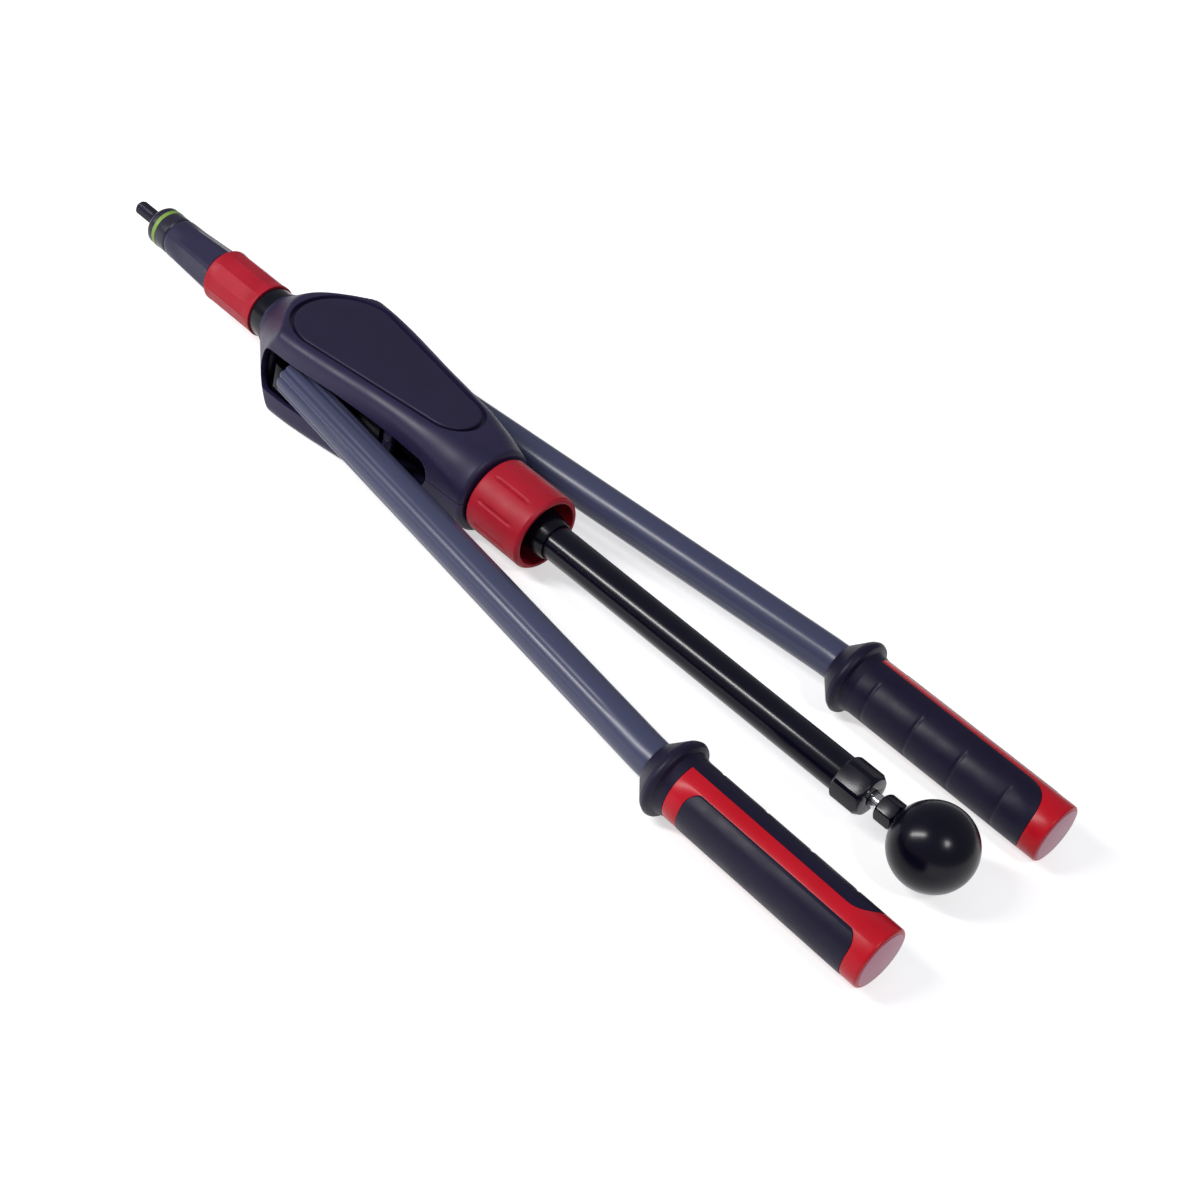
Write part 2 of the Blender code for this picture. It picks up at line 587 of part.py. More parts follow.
def make_housing():
    upper = shell_half("upper_shell", 1, SHELL_PLASTIC)
    shell_half("lower_shell", -1, SHELL_PLASTIC)
    recess = flat("panel_recess", [panel_outline(PANEL_GROOVE)], 2 * PANEL_DEPTH, AXIS,
                  (0.0, 0.0, HOUSING_HALF_HEIGHT))
    combine(upper, recess)
    panel = flat("top_panel", [panel_outline()], PANEL_DEPTH - SEAT_GAP, AXIS,
                 (0.0, 0.0, HOUSING_HALF_HEIGHT - (PANEL_DEPTH - SEAT_GAP) / 2), finish=PANEL_RUBBER)
    bevel = panel.modifiers.new("Soft edge", "BEVEL")
    bevel.width = 0.35 * MM
    bevel.segments = 1
    bevel.limit_method = "ANGLE"
    for number, (station, side, recess) in enumerate(post_places()):
        seat = -HOUSING_HALF_HEIGHT + recess + SHELL_SCREW_HEAD_HEIGHT - SEAT_GAP
        foot = seat - SHELL_SCREW_HEAD_HEIGHT
        outline = [(SHELL_SCREW_REACH, 0.0), (SHELL_SCREW_REACH, SHELL_SCREW_RADIUS),
                   (seat, SHELL_SCREW_RADIUS), (seat, SHELL_SCREW_HEAD_RADIUS),
                   (foot, SHELL_SCREW_HEAD_RADIUS), (foot, 0.0)]
        turned("shell_screw_%d" % (number + 1), outline, AXIS, STEEL, steps=8, hollow=False, along="Z",
               place_at=(station, side, 0.0))
    bush_bore = NECK_RADIUS + RUN_GAP
    turned("front_bush", tube_outline(FRONT_BUSH_FRONT, FRONT_BUSH_FRONT + FRONT_BUSH_LENGTH,
                                      bush_bore + FRONT_BUSH_WALL, bush_bore), AXIS, BRONZE)


# Frame
def plate_outline():
    """A frame plate: two ears round the pivot pins and a tail over the core block."""
    ear = arc((0.0, PIVOT_SIDE), PLATE_EAR_RADIUS, 180.0, 70.0, 10)
    upper = ear + [(BLOCK_FRONT - 6.0 * MM, BLOCK_HALF_WIDTH), (BLOCK_REAR - MM, BLOCK_HALF_WIDTH)]
    lower = [(x, -y) for x, y in reversed(upper)]
    return upper + lower


def make_frame():
    pin_hole = PIN_RADIUS + SEAT_GAP
    screw_hole = BLOCK_SCREW_RADIUS + SEAT_GAP
    holes = [arc((0.0, side * PIVOT_SIDE), pin_hole, 0.0, 337.5, 15) for side in (LEFT, RIGHT)]
    holes += [arc((BLOCK_SCREW_STATION, side * BLOCK_SCREW_SIDE), screw_hole, 0.0, 315.0, 7)
              for side in (LEFT, RIGHT)]
    middle = PLATE_INNER_HEIGHT + PLATE_THICKNESS / 2
    for word, up in (("upper", 1), ("lower", -1)):
        flat(word + "_frame_plate", [plate_outline()] + holes, PLATE_THICKNESS, AXIS,
             (0.0, 0.0, up * middle), finish=STEEL)
    make_core(screw_hole)
    for word, side in (("left", LEFT), ("right", RIGHT)):
        top = PLATE_OUTER_HEIGHT + SEAT_GAP
        outline = [(top + PIN_HEAD_HEIGHT, 0.0), (top + PIN_HEAD_HEIGHT, PIN_HEAD_RADIUS),
                   (top, PIN_HEAD_RADIUS), (top, PIN_RADIUS), (-top, PIN_RADIUS), (-top, 0.0)]
        turned(word + "_pivot_pin", outline, AXIS, STEEL, steps=16, hollow=False, along="Z",
               place_at=(0.0, side * PIVOT_SIDE, 0.0))
        for level, up in (("upper", 1), ("lower", -1)):
            head = PLATE_OUTER_HEIGHT + SEAT_GAP
            foot = head - PLATE_THICKNESS - BLOCK_SCREW_LENGTH
            outline = [(head + BLOCK_SCREW_HEAD_HEIGHT, 0.0),
                       (head + BLOCK_SCREW_HEAD_HEIGHT, BLOCK_SCREW_HEAD_RADIUS),
                       (head, BLOCK_SCREW_HEAD_RADIUS), (head, BLOCK_SCREW_RADIUS),
                       (foot, BLOCK_SCREW_RADIUS), (foot, 0.0)]
            if up < 0:
                outline = [(-height, radius) for height, radius in reversed(outline)]
            turned(level + "_frame_screw_" + word, outline, AXIS, STEEL, steps=10, hollow=False, along="Z",
                   place_at=(BLOCK_SCREW_STATION, side * BLOCK_SCREW_SIDE, 0.0))


def make_core(screw_hole):
    """The core block and barrel that carry the frame plates, the adjuster and the rear tube."""
    clip_front = ADJUSTER_HUB_REAR + SEAT_GAP
    clip_rear = clip_front + CLIP_THICKNESS
    outside = [(BLOCK_FRONT + MM, 0.0), (BLOCK_FRONT + MM, BARREL_BORE + MM), (BLOCK_REAR, BARREL_BORE + MM),
               (BLOCK_REAR, BARREL_RADIUS), (clip_front, BARREL_RADIUS), (clip_front, CLIP_SEAT_RADIUS),
               (clip_rear + SEAT_GAP, CLIP_SEAT_RADIUS), (clip_rear + SEAT_GAP, BARREL_RADIUS),
               (BARREL_STEP, BARREL_RADIUS), (BARREL_STEP + MM, BOSS_RADIUS),
               (BOSS_REAR - MM, BOSS_RADIUS), (BOSS_REAR, BOSS_RADIUS - MM), (BOSS_REAR, 0.0)]
    core = turned("core_barrel", outside, AXIS, ALUMINIUM, hollow=False)
    combine(core, block("core_block", (BLOCK_FRONT, -BLOCK_HALF_WIDTH, -BLOCK_HALF_HEIGHT),
                        (BLOCK_REAR + MM, BLOCK_HALF_WIDTH, BLOCK_HALF_HEIGHT), AXIS), "UNION")
    wall_rear = THRUST_WALL_FRONT + THRUST_WALL
    tube_bore = CENTRE_TUBE_RADIUS + SEAT_GAP
    shaft_bore = SPINDLE_RADIUS + RUN_GAP
    bore = [(BLOCK_FRONT - MM, 0.0), (BLOCK_FRONT - MM, BARREL_BORE), (THRUST_WALL_FRONT, BARREL_BORE),
            (THRUST_WALL_FRONT, shaft_bore), (wall_rear, shaft_bore), (wall_rear, tube_bore),
            (BOSS_REAR + MM, tube_bore), (BOSS_REAR + MM, 0.0)]
    combine(core, turned("core_bore", bore, AXIS, hollow=False))
    slot_half = STOP_LUG_WIDTH / 2 + RUN_GAP
    reach = BARREL_RADIUS + MM
    lug_slot = block("stop_lug_slot", (STOP_LUG_STATION - SEAT_GAP, -slot_half, -reach),
                     (STOP_LUG_STATION + STOP_LUG_LENGTH + STOP_TRAVEL + SEAT_GAP, slot_half, reach), AXIS)
    combine(core, lug_slot)
    for side, word in ((LEFT, "left"), (RIGHT, "right")):
        for up, level in ((1, "upper"), (-1, "lower")):
            deep = BLOCK_HALF_HEIGHT - BLOCK_SCREW_LENGTH - MM
            ends = sorted((up * (BLOCK_HALF_HEIGHT + MM), up * deep), reverse=True)
            hole = turned("core_hole_%s_%s" % (level, word),
                          [(ends[0], 0.0), (ends[0], screw_hole), (ends[1], screw_hole), (ends[1], 0.0)],
                          AXIS, hollow=False, along="Z", steps=10,
                          place_at=(BLOCK_SCREW_STATION, side * BLOCK_SCREW_SIDE, 0.0))
            combine(core, hole)
    turned("ring_clip", tube_outline(clip_front, clip_rear, CLIP_RADIUS, CLIP_SEAT_RADIUS + SEAT_GAP), AXIS,
           STEEL)


# Toothed levers and rack
def involute(angle):
    return math.tan(angle) - angle


def sector_outline():
    """Teeth of the lever about its pivot, facing +Y, with the rest of the blank as a round hub."""
    root = PITCH_RADIUS - TOOTH_DEDENDUM
    tip = PITCH_RADIUS + TOOTH_ADDENDUM
    base = PITCH_RADIUS * math.cos(PRESSURE_ANGLE)
    pitch_angle = math.tau / FULL_CIRCLE_TEETH
    half_tooth = pitch_angle / 4 - TOOTH_BACKLASH / 4 / PITCH_RADIUS
    flank = []
    for i in range(5):
        radius = base + (tip - base) * i / 4
        pressure = math.acos(base / radius)
        flank.append((radius, half_tooth + involute(PRESSURE_ANGLE) - involute(pressure)))
    flank.insert(0, (root, flank[0][1]))
    outline = []
    for step in SECTOR_TOOTH_STEPS:
        centre = math.pi / 2 + step * pitch_angle
        rising = [(radius, centre - half) for radius, half in flank]
        falling = [(radius, centre + half) for radius, half in reversed(flank)]
        outline += [(radius * math.cos(a), radius * math.sin(a)) for radius, a in rising + falling]
    start = math.degrees(math.pi / 2 + (SECTOR_TOOTH_STEPS[-1] + 0.5) * pitch_angle)
    end = math.degrees(math.pi / 2 + (SECTOR_TOOTH_STEPS[0] - 0.5) * pitch_angle) + 360.0
    return outline + arc((0.0, 0.0), root, start, end, 20)


def rack_outline():
    """Plan of the toothed part of the rack sleeve, with straight-sided teeth on both edges."""
    pitch = math.tau * PITCH_RADIUS / FULL_CIRCLE_TEETH
    line = PIVOT_SIDE - PITCH_RADIUS
    root = line - TOOTH_DEDENDUM
    tip = line + TOOTH_ADDENDUM
    slope = math.tan(PRESSURE_ANGLE)
    half = pitch / 4 - TOOTH_BACKLASH / 4
    shoulder = RACK_TOOTH_STEPS[0] * pitch - pitch / 2
    edge = [(NECK_REAR - MM, root + 1.1 * MM), (shoulder, root + 1.1 * MM), (shoulder + 0.6 * MM, root)]
    for step in RACK_TOOTH_STEPS:
        x = step * pitch
        wide = half + TOOTH_DEDENDUM * slope
        narrow = half - TOOTH_ADDENDUM * slope
        edge += [(x - wide, root), (x - narrow, tip), (x + narrow, tip), (x + wide, root)]
    edge += [(RACK_REAR, root)]
    return edge + [(x, -y) for x, y in reversed(edge)]


def make_lever(word, side, pivot, droop):
    """A hub on the pivot pin with sector teeth on one side and a shank for the tube on the other."""
    bore = PIN_RADIUS + RUN_GAP + BUSH_WALL
    lever = turned(word + "_lever", [(HUB_HALF_HEIGHT, 0.0), (HUB_HALF_HEIGHT, HUB_RADIUS),
                                     (-HUB_HALF_HEIGHT, HUB_RADIUS), (-HUB_HALF_HEIGHT, 0.0)],
                   pivot, STEEL, steps=20, hollow=False, along="Z")
    level_turn = (0.0, 0.0, -side * ARM_ANGLE)
    teeth = [(x, -side * y) for x, y in sector_outline()]
    combine(lever, flat(word + "_sector", [teeth], 2 * SECTOR_HALF_HEIGHT, pivot, rotation=level_turn), "UNION")
    shoulder = ARM_TUBE_START - SEAT_GAP
    inner = ARM_OFFSET - SHANK_RADIUS
    outer = ARM_OFFSET + SHANK_RADIUS
    web = [(-5.0 * MM, 0.0), (shoulder - 3.0 * MM, inner - 5.0 * MM), (shoulder, inner), (shoulder, outer),
           (shoulder - 5.0 * MM, outer), (-5.5 * MM, 5.0 * MM)]
    web = [(x, side * y) for x, y in web]
    combine(lever, flat(word + "_web", [web], 2 * LEVER_HALF_HEIGHT, pivot), "UNION")
    shank = [(shoulder - 5.0 * MM, 0.0), (shoulder - 5.0 * MM, SHANK_RADIUS),
             (shoulder + SHANK_LENGTH - MM, SHANK_RADIUS), (shoulder + SHANK_LENGTH, SHANK_RADIUS - MM),
             (shoulder + SHANK_LENGTH, 0.0)]
    combine(lever, turned(word + "_shank", shank, droop, steps=20, hollow=False), "UNION")
    hole = rod_outline_z(HUB_HALF_HEIGHT + MM, bore + SEAT_GAP)
    combine(lever, turned(word + "_lever_bore", hole, pivot, hollow=False, along="Z", steps=20))
    pin_hole = rod_outline_z(ARM_TUBE_RADIUS + MM, SPRING_PIN_RADIUS + SEAT_GAP)
    combine(lever, turned(word + "_pin_hole", pin_hole, droop, hollow=False, along="Z", steps=10,
                          place_at=(SPRING_PIN_STATION, 0.0, 0.0)))
    bush = tube_outline_z(HUB_HALF_HEIGHT - SEAT_GAP, bore, PIN_RADIUS + RUN_GAP)
    turned(word + "_pivot_bush", bush, pivot, BRONZE, steps=20, along="Z")
    pin_half_length = ARM_TUBE_RADIUS - CREASE_DEPTH - SEAT_GAP
    turned(word + "_arm_pin", rod_outline_z(pin_half_length, SPRING_PIN_RADIUS), droop, STEEL,
           steps=10, hollow=False, along="Z", place_at=(SPRING_PIN_STATION, 0.0, 0.0))
    return lever


def rod_outline_z(half_height, radius):
    return [(half_height, 0.0), (half_height, radius), (-half_height, radius), (-half_height, 0.0)]


def tube_outline_z(half_height, radius, bore):
    return [(half_height, radius), (-half_height, radius), (-half_height, bore), (half_height, bore)]


# Arm tubes
def arm_path(s, side):
    """Centre and heading of the arm tube at a distance from its pivot, in the drooped frame."""
    bend_end = FLANGE_STATION - ARM_BEND_SETBACK
    bend_start = bend_end - ARM_BEND_LENGTH
    if s <= bend_start:
        return Vector((s, 0.0, 0.0)), 0.0
    turn = -side * ARM_BEND
    radius = ARM_BEND_LENGTH / ARM_BEND
    if s <= bend_end:
        angle = (s - bend_start) / radius
        return Vector((bend_start + radius * math.sin(angle),
                       -side * radius * (1.0 - math.cos(angle)), 0.0)), -side * angle
    sagitta = radius * (1.0 - math.cos(ARM_BEND))
    end = Vector((bend_start + radius * math.sin(ARM_BEND), -side * sagitta, 0.0))
    ahead = Vector((math.cos(turn), math.sin(turn), 0.0))
    return end + ahead * (s - bend_end), turn


def crease_depth(s, around):
    """How deep the pressed crease lies at a station of the tube and an angle round it."""
    fade = max(0.0, 1.0 - (s - ARM_TUBE_START) / CREASE_LENGTH)
    from_crease = min(abs(around - math.pi / 2), abs(around - 3 * math.pi / 2)) / CREASE_HALF_WIDTH
    return CREASE_DEPTH * fade * math.exp(-from_crease ** 2)


def make_arm_tube(word, side, droop):
    """A steel tube, creased above and below at its front end and bent inwards at the grip."""
    sides = 24
    end = FLANGE_STATION + GRIP_LENGTH - GRIP_END_CAP
    stations = [ARM_TUBE_START + CREASE_LENGTH * i / 7 for i in range(8)]
    bend_start = FLANGE_STATION - ARM_BEND_SETBACK - ARM_BEND_LENGTH
    stations += [bend_start + ARM_BEND_LENGTH * i / 4 for i in range(5)] + [end]

    def ring(s, wall):
        centre, heading = arm_path(s, side)
        turn = Matrix.Rotation(heading, 3, "Z")
        points = []
        for i in range(sides):
            around = math.tau * i / sides
            radius = ARM_TUBE_RADIUS - wall - crease_depth(s, around) * (wall == 0.0)
            offset = Vector((0.0, radius * math.cos(around), radius * math.sin(around)))
            points.append(centre + turn @ offset)
        return points

    tube = loft(word + "_arm_tube", [ring(s, 0.0) for s in stations], droop, ARM_PAINT)
    first = ring(stations[0] - MM, ARM_TUBE_WALL)
    inside = [first] + [ring(s, ARM_TUBE_WALL) for s in stations[8:13]] + [ring(end + MM, ARM_TUBE_WALL)]
    combine(tube, loft(word + "_tube_bore", inside, droop))
    hole = rod_outline_z(ARM_TUBE_RADIUS + MM, SPRING_PIN_RADIUS + SEAT_GAP)
    combine(tube, turned(word + "_tube_pin_hole", hole, droop, hollow=False, along="Z", steps=10,
                         place_at=(SPRING_PIN_STATION, 0.0, 0.0)))


# Grips
def grip_sleeve_outline():
    """The black moulding: front cone, flange, shoulder and the long inner half with finger grooves."""
    half = GRIP_FLANGE_THICKNESS / 2
    bore = ARM_TUBE_RADIUS + SEAT_GAP
    inner = GRIP_RADIUS - GRIP_COVER_THICKNESS
    end = GRIP_LENGTH - GRIP_END_CAP - SEAT_GAP
    outline = [(-half - GRIP_NECK_LENGTH, GRIP_NECK_RADIUS), (-half + 0.2 * MM, GRIP_FLANGE_RADIUS - 1.6 * MM),
               (-half + 1.4 * MM, GRIP_FLANGE_RADIUS - 0.4 * MM), (0.0, GRIP_FLANGE_RADIUS),
               (half - 1.0 * MM, GRIP_FLANGE_RADIUS - 0.5 * MM), (half, GRIP_RADIUS + 1.2 * MM),
               (GRIP_BAND_START - SEAT_GAP, GRIP_RADIUS)]
    groove = GRIP_FIRST_GROOVE
    while groove + GRIP_GROOVE_PITCH / 2 < end:
        outline += [(groove - GRIP_GROOVE_HALF_WIDTH, GRIP_RADIUS), (groove, GRIP_RADIUS - GRIP_GROOVE_DEPTH),
                    (groove + GRIP_GROOVE_HALF_WIDTH, GRIP_RADIUS)]
        groove += GRIP_GROOVE_PITCH
    return outline + [(end, GRIP_RADIUS), (end, inner), (GRIP_BAND_START - SEAT_GAP, inner),
                      (GRIP_BAND_START - SEAT_GAP, bore), (-half - GRIP_NECK_LENGTH, bore)]


def grip_window(grow):
    """The side view of the outer pad, with round corners."""
    front = GRIP_BAND_START + GRIP_BAND_WIDTH - grow
    rear = GRIP_LENGTH - GRIP_END_CAP + grow
    half = GRIP_RADIUS * math.sin(GRIP_PAD_ANGLE) + grow
    corner = 5.0 * MM
    outline = []
    for cx, cz, start in ((rear, half, 0.0), (front, half, 90.0), (front, -half, 180.0), (rear, -half, 270.0)):
        centre = (cx - math.copysign(corner, cx - (front + rear) / 2), cz - math.copysign(corner, cz))
        outline += arc(centre, corner, start, start + 90.0, 5)
    return outline


def make_grip(word, side, frame):
    bore = ARM_TUBE_RADIUS + SEAT_GAP
    core_radius = GRIP_RADIUS - GRIP_COVER_THICKNESS - SEAT_GAP
    cap = GRIP_LENGTH - GRIP_END_CAP
    core_front = GRIP_BAND_START
    tube_end = cap + SEAT_GAP
    outline = [(core_front, GRIP_RADIUS), (cap, GRIP_RADIUS), (GRIP_LENGTH - 0.6 * MM, GRIP_RADIUS + 0.1 * MM),
               (GRIP_LENGTH, GRIP_RADIUS - 0.6 * MM), (GRIP_LENGTH, 0.0), (tube_end, 0.0), (tube_end, bore),
               (core_front, bore), (core_front, GRIP_RADIUS)]
    frame_piece = turned(word + "_grip_frame", outline[:-1], frame, GRIP_RED, hollow=True)
    far = 2 * GRIP_RADIUS
    keep = 0.3 * MM
    sleeve_room = turned(word + "_sleeve_room", tube_outline(core_front - MM, cap, far, core_radius), frame)
    low, high = sorted((-side * far * 2, side * keep))
    half_space = block(word + "_inner_half", (core_front - MM, low, -far), (cap, high, far), frame)
    combine(sleeve_room, half_space, "INTERSECT")
    combine(frame_piece, sleeve_room)
    depth = 2 * far
    middle = side * depth / 2
    turn = (math.pi / 2, 0.0, 0.0)
    window = flat(word + "_pad_window", [grip_window(0.0)], depth, frame, (0.0, middle, 0.0), turn)
    core = turned(word + "_pad_floor", rod_outline(core_front - MM, GRIP_LENGTH + MM, core_radius), frame,
                  hollow=False)
    combine(window, core)
    combine(frame_piece, window)
    pad = flat(word + "_grip_pad", [grip_window(-SEAT_GAP)], depth, frame, (0.0, middle, 0.0), turn,
               GRIP_RUBBER)
    pad_shell = tube_outline(core_front - MM, GRIP_LENGTH + MM, GRIP_RADIUS + 0.1 * MM, core_radius + SEAT_GAP)
    combine(pad, turned(word + "_pad_shell", pad_shell, frame), "INTERSECT")
    sleeve = turned(word + "_grip_sleeve", grip_sleeve_outline(), frame, GRIP_RUBBER)
    low, high = sorted((side * (keep - SEAT_GAP), side * far * 2))
    outer_half = block(word + "_outer_half", (core_front - SEAT_GAP, low, -far),
                       (GRIP_LENGTH + MM, high, far), frame)
    combine(sleeve, outer_half)


def make_arm(word, side):
    """One handle: toothed lever, bush, tube and grip, all on an empty at the pivot."""
    pivot = empty(word + "_arm_pivot", AXIS, (0.0, side * PIVOT_SIDE, 0.0), (0.0, 0.0, side * ARM_ANGLE))
    droop = empty(word + "_arm_line", pivot, (0.0, side * ARM_OFFSET, 0.0), (0.0, ARM_DROOP, 0.0))
    make_lever(word, side, pivot, droop)
    make_arm_tube(word, side, droop)
    flange, heading = arm_path(FLANGE_STATION, side)
    grip_frame = empty(word + "_grip_line", droop, flange, (0.0, 0.0, heading))
    make_grip(word, side, grip_frame)
    return grip_frame


# Nose group
def make_nose():
    thread_front = NECK_FRONT - HOLDER_THREAD_LENGTH
    outline = [(thread_front, 0.0), (thread_front, HOLDER_THREAD_RADIUS), (NECK_FRONT, HOLDER_THREAD_RADIUS),
               (NECK_FRONT, NECK_RADIUS), (NECK_REAR - MM, NECK_RADIUS), (NECK_REAR, NECK_RADIUS - MM),
               (NECK_REAR, 0.0)]
    rack = flat("rack_sleeve", [rack_outline()], 2 * RACK_HALF_HEIGHT, AXIS, finish=STEEL)
    combine(rack, turned("rack_neck", outline, AXIS, hollow=False), "UNION", "MANIFOLD")
    bore = rod_outline(thread_front - MM, RACK_REAR + MM, RACK_BORE)
    combine(rack, turned("rack_bore", bore, AXIS, hollow=False, steps=20))

    holder_rear = NECK_FRONT - SEAT_GAP
    holder_front = LOCK_RING_FRONT - SEAT_GAP / 2
    web_rear = thread_front - SEAT_GAP
    web_front = web_rear - HOLDER_WEB_LENGTH
    turned("nose_holder", [
        (holder_front, HOLDER_RADIUS), (holder_rear, HOLDER_RADIUS),
        (holder_rear, HOLDER_THREAD_RADIUS + SEAT_GAP), (web_rear, HOLDER_THREAD_RADIUS + SEAT_GAP),
        (web_rear, NOSE_SLEEVE_BORE), (web_front, NOSE_SLEEVE_BORE),
        (web_front, NOSE_SLEEVE_SHANK_RADIUS + SEAT_GAP), (holder_front, NOSE_SLEEVE_SHANK_RADIUS + SEAT_GAP)],
        AXIS, BLACK_STEEL)

    lock = turned("lock_ring", [
        (LOCK_RING_FRONT, LOCK_RING_RADIUS - LOCK_RING_BEVEL),
        (LOCK_RING_FRONT + LOCK_RING_BEVEL, LOCK_RING_RADIUS),
        (LOCK_RING_REAR - 0.6 * MM, LOCK_RING_RADIUS), (LOCK_RING_REAR, LOCK_RING_RADIUS - 0.6 * MM),
        (LOCK_RING_REAR, HOLDER_RADIUS + RUN_GAP), (LOCK_RING_FRONT, HOLDER_RADIUS + RUN_GAP)],
        AXIS, RING_RED, steps=48)
    flat_half_width = math.sqrt(2 * LOCK_RING_RADIUS * LOCK_RING_FLAT_DEPTH)
    cut_grooves(lock, LOCK_RING_FLAT_COUNT, LOCK_RING_RADIUS, LOCK_RING_FLAT_DEPTH, flat_half_width,
                (LOCK_RING_FRONT + 3.0 * MM, LOCK_RING_REAR - 2.5 * MM))

    shank_rear = NOSE_SLEEVE_REAR + NOSE_SLEEVE_SHANK_LENGTH
    seat = NOSE_SLEEVE_FRONT + NOSEPIECE_SHANK_LENGTH + SEAT_GAP
    sleeve = turned("nose_sleeve", [
        (NOSE_SLEEVE_FRONT, NOSE_SLEEVE_FRONT_RADIUS),
        (NOSE_SLEEVE_FRONT + 6.0 * MM, NOSE_SLEEVE_FRONT_RADIUS),
        (NOSE_SLEEVE_REAR - 1.5 * MM, NOSE_SLEEVE_REAR_RADIUS),
        (NOSE_SLEEVE_REAR, NOSE_SLEEVE_REAR_RADIUS - 0.4 * MM),
        (NOSE_SLEEVE_REAR, NOSE_SLEEVE_SHANK_RADIUS), (shank_rear, NOSE_SLEEVE_SHANK_RADIUS),
        (shank_rear, NOSE_SLEEVE_BORE), (seat, NOSE_SLEEVE_BORE),
        (seat, NOSEPIECE_SHANK_RADIUS + SEAT_GAP), (NOSE_SLEEVE_FRONT, NOSEPIECE_SHANK_RADIUS + SEAT_GAP)],
        AXIS, BLACK_STEEL, steps=30)
    cut_flats(sleeve)

    ring_front = NOSE_FACE + SIZE_RING_SETBACK
    ring_rear = ring_front + SIZE_RING_WIDTH
    groove = NOSEPIECE_RADIUS - SIZE_RING_DEPTH
    shank_end = NOSEPIECE_REAR + NOSEPIECE_SHANK_LENGTH
    turned("nosepiece", [
        (NOSE_FACE, NOSEPIECE_FACE_RADIUS), (NOSE_FACE + 1.2 * MM, NOSEPIECE_RADIUS),
        (ring_front - SEAT_GAP, NOSEPIECE_RADIUS), (ring_front - SEAT_GAP, groove),
        (ring_rear + SEAT_GAP, groove), (ring_rear + SEAT_GAP, NOSEPIECE_RADIUS),
        (NOSEPIECE_REAR, NOSEPIECE_RADIUS), (NOSEPIECE_REAR, NOSEPIECE_SHANK_RADIUS),
        (shank_end, NOSEPIECE_SHANK_RADIUS), (shank_end, NOSEPIECE_BORE), (NOSE_FACE, NOSEPIECE_BORE)],
        AXIS, BLACK_STEEL)
    turned("size_ring", tube_outline(ring_front, ring_rear, SIZE_RING_RADIUS, groove + SEAT_GAP), AXIS,
           RING_GREEN)


def cut_grooves(piece, count, radius, depth, half_width, span):
    """Cut shallow lengthwise grooves round a ring, evenly spaced."""
    form = bmesh.new()
    for i in range(count):
        angle = math.tau * (i + 0.75) / count
        placed = Matrix.Rotation(angle, 4, "X") @ Matrix.Translation(((span[0] + span[1]) / 2, 0.0, radius))
        size = Matrix.Diagonal((span[1] - span[0], 2 * half_width, 2 * depth, 1.0))
        bmesh.ops.create_cube(form, size=1.0, matrix=placed @ size)
    mesh = bpy.data.meshes.new(piece.name + "_grooves")
    form.to_mesh(mesh)
    form.free()
    combine(piece, place(piece.name + "_grooves", mesh, AXIS))


def cut_flats(sleeve):
    """Cut the long flats into the tapered nose sleeve."""
    form = bmesh.new()
    front = NOSE_SLEEVE_FRONT + 7.0 * MM
    rear = NOSE_SLEEVE_REAR - 4.0 * MM
    for i in range(NOSE_SLEEVE_FLATS):
        angle = math.tau * (i + 0.5) / NOSE_SLEEVE_FLATS
        height = NOSE_SLEEVE_FRONT_RADIUS - 0.3 * MM
        middle = ((front + rear) / 2, 0.0, height + 2.5 * MM)
        placed = Matrix.Rotation(angle, 4, "X") @ Matrix.Translation(middle) @ Matrix.Rotation(-0.055, 4, "Y")
        size = Matrix.Diagonal((rear - front, 9.0 * MM, 5.0 * MM, 1.0))
        bmesh.ops.create_cube(form, size=1.0, matrix=placed @ size)
    mesh = bpy.data.meshes.new("nose_flats")
    form.to_mesh(mesh)
    form.free()
    combine(sleeve, place("nose_flats", mesh, AXIS))


